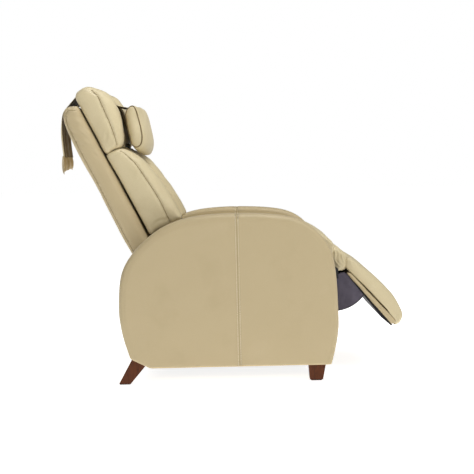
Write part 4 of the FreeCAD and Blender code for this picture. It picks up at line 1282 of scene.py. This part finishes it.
def make_flap(rests_on):
    """Weighted strap: laid over the head cushion, across to the shell's top and hanging straight down."""
    columns = np.linspace(-1, 1, 61)
    rows = laid_on(rests_on, curve_through(STRAP_OVER_HEAD, 7.0), columns)
    corner = on_back([STRAP_OFF_SHELL[0]], [STRAP_OFF_SHELL[1]], [0])[0]
    hang = on_base([x for x, _ in STRAP_HANG], [z for _, z in STRAP_HANG], [0] * len(STRAP_HANG))
    fall = curve_through(np.vstack([corner, hang]), 0.008)
    last = rows[-1]
    steps = 16
    for k in range(1, steps + 1):
        part = k / steps
        goal = corner + np.outer(columns * STRAP_HALF_WIDTH * MM, ACROSS)
        rows.append(last + (goal - last) * part)
    for k, at in enumerate(fall[1:], 1):
        free = smoothstep(0, 12, k)
        stand = np.outer(strap_ripple(columns) * free, [-1.0, 0, 0])
        rows.append(at + np.outer(columns * STRAP_HALF_WIDTH * MM * (1 - 0.04 * free), ACROSS) + stand)
    grid = np.array(rows)
    for _ in range(3):
        grid[1:-1] = (grid[:-2] + 2 * grid[1:-1] + grid[2:]) / 4
    middle = grid[:, len(columns) // 2]
    tangent = np.gradient(grid, axis=0)
    across = np.gradient(grid, axis=1)
    out = np.cross(across, tangent)
    out /= np.linalg.norm(out, axis=2)[:, :, None]
    out *= STRAP_HALF_THICK * MM
    count, width = grid.shape[:2]
    points = np.vstack(list(grid + out) + list(grid - out))
    faces = []
    for k in range(count - 1):
        for j in range(width - 1):
            a = k * width + j
            faces.append((a, a + 1, a + width + 1, a + width))
            b = a + count * width
            faces.append((b, b + width, b + width + 1, b + 1))
    for k in range(count - 1):
        for j, turned in ((0, False), (width - 1, True)):
            a = k * width + j
            side = (a, a + width, a + width + count * width, a + count * width)
            faces.append(side[::-1] if turned else side)
    for k, turned in ((0, True), (count - 1, False)):
        for j in range(width - 1):
            a = k * width + j
            end = (a, a + 1, a + 1 + count * width, a + count * width)
            faces.append(end if turned else end[::-1])
    piece = mesh_object("pillow_strap", points, faces)
    face_outwards(piece)
    finer(piece)
    piece.data.materials.append(CUSHION_LEATHER)
    piece.data.materials.append(FLAP_UNDERSIDE_SUEDE_AND_SHADE)
    # The strap's lower faces take the underside leather: suede, darker still as painted shade.
    for index in range(1, 2 * (count - 1) * (width - 1), 2):
        piece.data.polygons[index].material_index = 1
    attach(piece, "pillow")
    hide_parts("pillow_flap")
    hem = make_hem(middle[-1])


def make_hem(end):
    """The strap's weighted end: a stuffed fold with slanting lower edge and pointed corners."""
    steps = 48
    u = np.linspace(-1, 1, steps)
    ripple = -strap_ripple(u)
    y = u * STRAP_HALF_WIDTH * MM * 0.96
    drop = HEM_DROP + HEM_POINTS * np.abs(u) ** 5 - HEM_SLANT * (u + 1) / 2
    section = 14
    points, faces = [], []
    for k in range(steps):
        pinch = 1 - 0.75 * np.abs(u[k]) ** 6
        for j in range(section):
            turn = 2 * math.pi * j / section
            across = math.cos(turn) * HEM_HALF_THICK * pinch * (1 + 0.35 * math.sin(turn))
            fallen = (drop[k] + HEM_OVERLAP) * (1 + math.sin(turn)) / 2
            points.append((end[0] + ripple[k] + across, y[k], end[2] + HEM_OVERLAP - fallen))
    for k in range(steps - 1):
        for j in range(section):
            i = (j + 1) % section
            faces.append((k * section + j, k * section + i, (k + 1) * section + i, (k + 1) * section + j))
    faces.append(tuple(range(section)))
    faces.append(tuple((steps - 1) * section + j for j in range(section))[::-1])
    piece = mesh_object("strap_hem", points, faces)
    face_outwards(piece)
    push(piece, lambda p, n: 0.0008 * waves(p, 8, 0.02, 0.08, 95))
    finer(piece)
    return dress(piece, HEM_LEATHER, "pillow")


SHROUD_RADIUS = 145.2
SHROUD_ANGLES = (-88, -37)
HINGE_IN_DRAWING = np.array([(LEG_HINGE[0] - DRAWING_X) / MM, LEG_HINGE[2] / MM])


def make_shroud():
    """Dark cloth drum under the leg rest: a curved skin and two cheeks, with a hem round its edges."""
    angles = np.radians(np.linspace(*SHROUD_ANGLES, 40))

    def arc(radius, turns):
        return HINGE_IN_DRAWING + radius * np.column_stack([np.cos(turns), np.sin(turns)])

    skin_ring = np.vstack([arc(SHROUD_RADIUS, angles), arc(SHROUD_RADIUS - 3.2, angles[::-1])])
    skin = loft("shroud_skin", skin_ring, -250, 250, 1.2, on_base, step=10.0)
    push(skin, lambda p, n: 0.0006 * waves(p, 8, 0.05, 0.2, 96))
    dress(skin, SHROUD, "leg_rest", ["leg_shroud"])
    for side, word in ((-1, "right"), (1, "left")):
        upper = np.array([(135, 27.0), (37, 35.5), (26, 31), (20, 24), (16, 15), (16, -15)], float)
        inner = on_leg(upper[:, 0], upper[:, 1], np.zeros(len(upper)))
        inner = np.column_stack([inner[:, 0] / MM - DRAWING_X / MM, inner[:, 2] / MM])
        curved = arc(SHROUD_RADIUS - 0.6, angles)
        cheek_ring = resample(np.vstack([curved, inner, curved[:1]]), 5.0, closed=True)
        low, high = sorted((side * 250.5, side * 247.0))
        cheek = loft("shroud_cheek_" + word, cheek_ring, low, high, 1.2, on_base, dome=0.5, step=3.0)
        dress(cheek, SHROUD, "leg_rest")
        edge = arc(SHROUD_RADIUS - 1.2, angles)
        cord = Collected()
        cord.add(*tube(on_base(edge[:, 0], edge[:, 1], np.full(len(edge), side * 249.6)), 1.8 * MM, 8))
        cord.build("shroud_piping_" + word, cheek, UNDERCLOTH)


# ---------- the rest of the CAD ----------

def finish_cad():
    """Procedural finishes, and rounded edges, on the CAD nodes that still show."""
    for name, node in frame["nodes"].items():
        slot = NODE_SLOT[name]
        node.data.materials.clear()
        node.data.materials.append(CAD_FINISH[slot])
        for polygon in node.data.polygons:
            polygon.material_index = 0
        if name.startswith("foot_") and name != "foot_glides":
            edge = node.modifiers.new("edge", "BEVEL")
            edge.width, edge.segments, edge.limit_method = 0.002, 3, "ANGLE"
        elif name.startswith(("control_panel", "recline_button", "leg_rest_button", "massage_button")):
            edge = node.modifiers.new("edge", "BEVEL")
            edge.width, edge.segments, edge.limit_method = 0.0008, 2, "ANGLE"


make_studio()
finish_cad()
make_arm(-1, "right")
make_arm(1, "left")
HEAD_PIECE = make_head_cushion()
make_back_cushion()
make_lower_pad()
make_seat()
make_hip_cover()
make_knee_cover()
make_calf_cushion()
make_leg_board()
make_shell()
make_panel("front_panel", "front_panel_cover", 101)
make_panel("rear_panel", "rear_panel_cover", 102, hole=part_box("mains_inlet"))
PILLOW_PIECE = make_pillow()
make_flap([HEAD_PIECE, PILLOW_PIECE])
make_shroud()
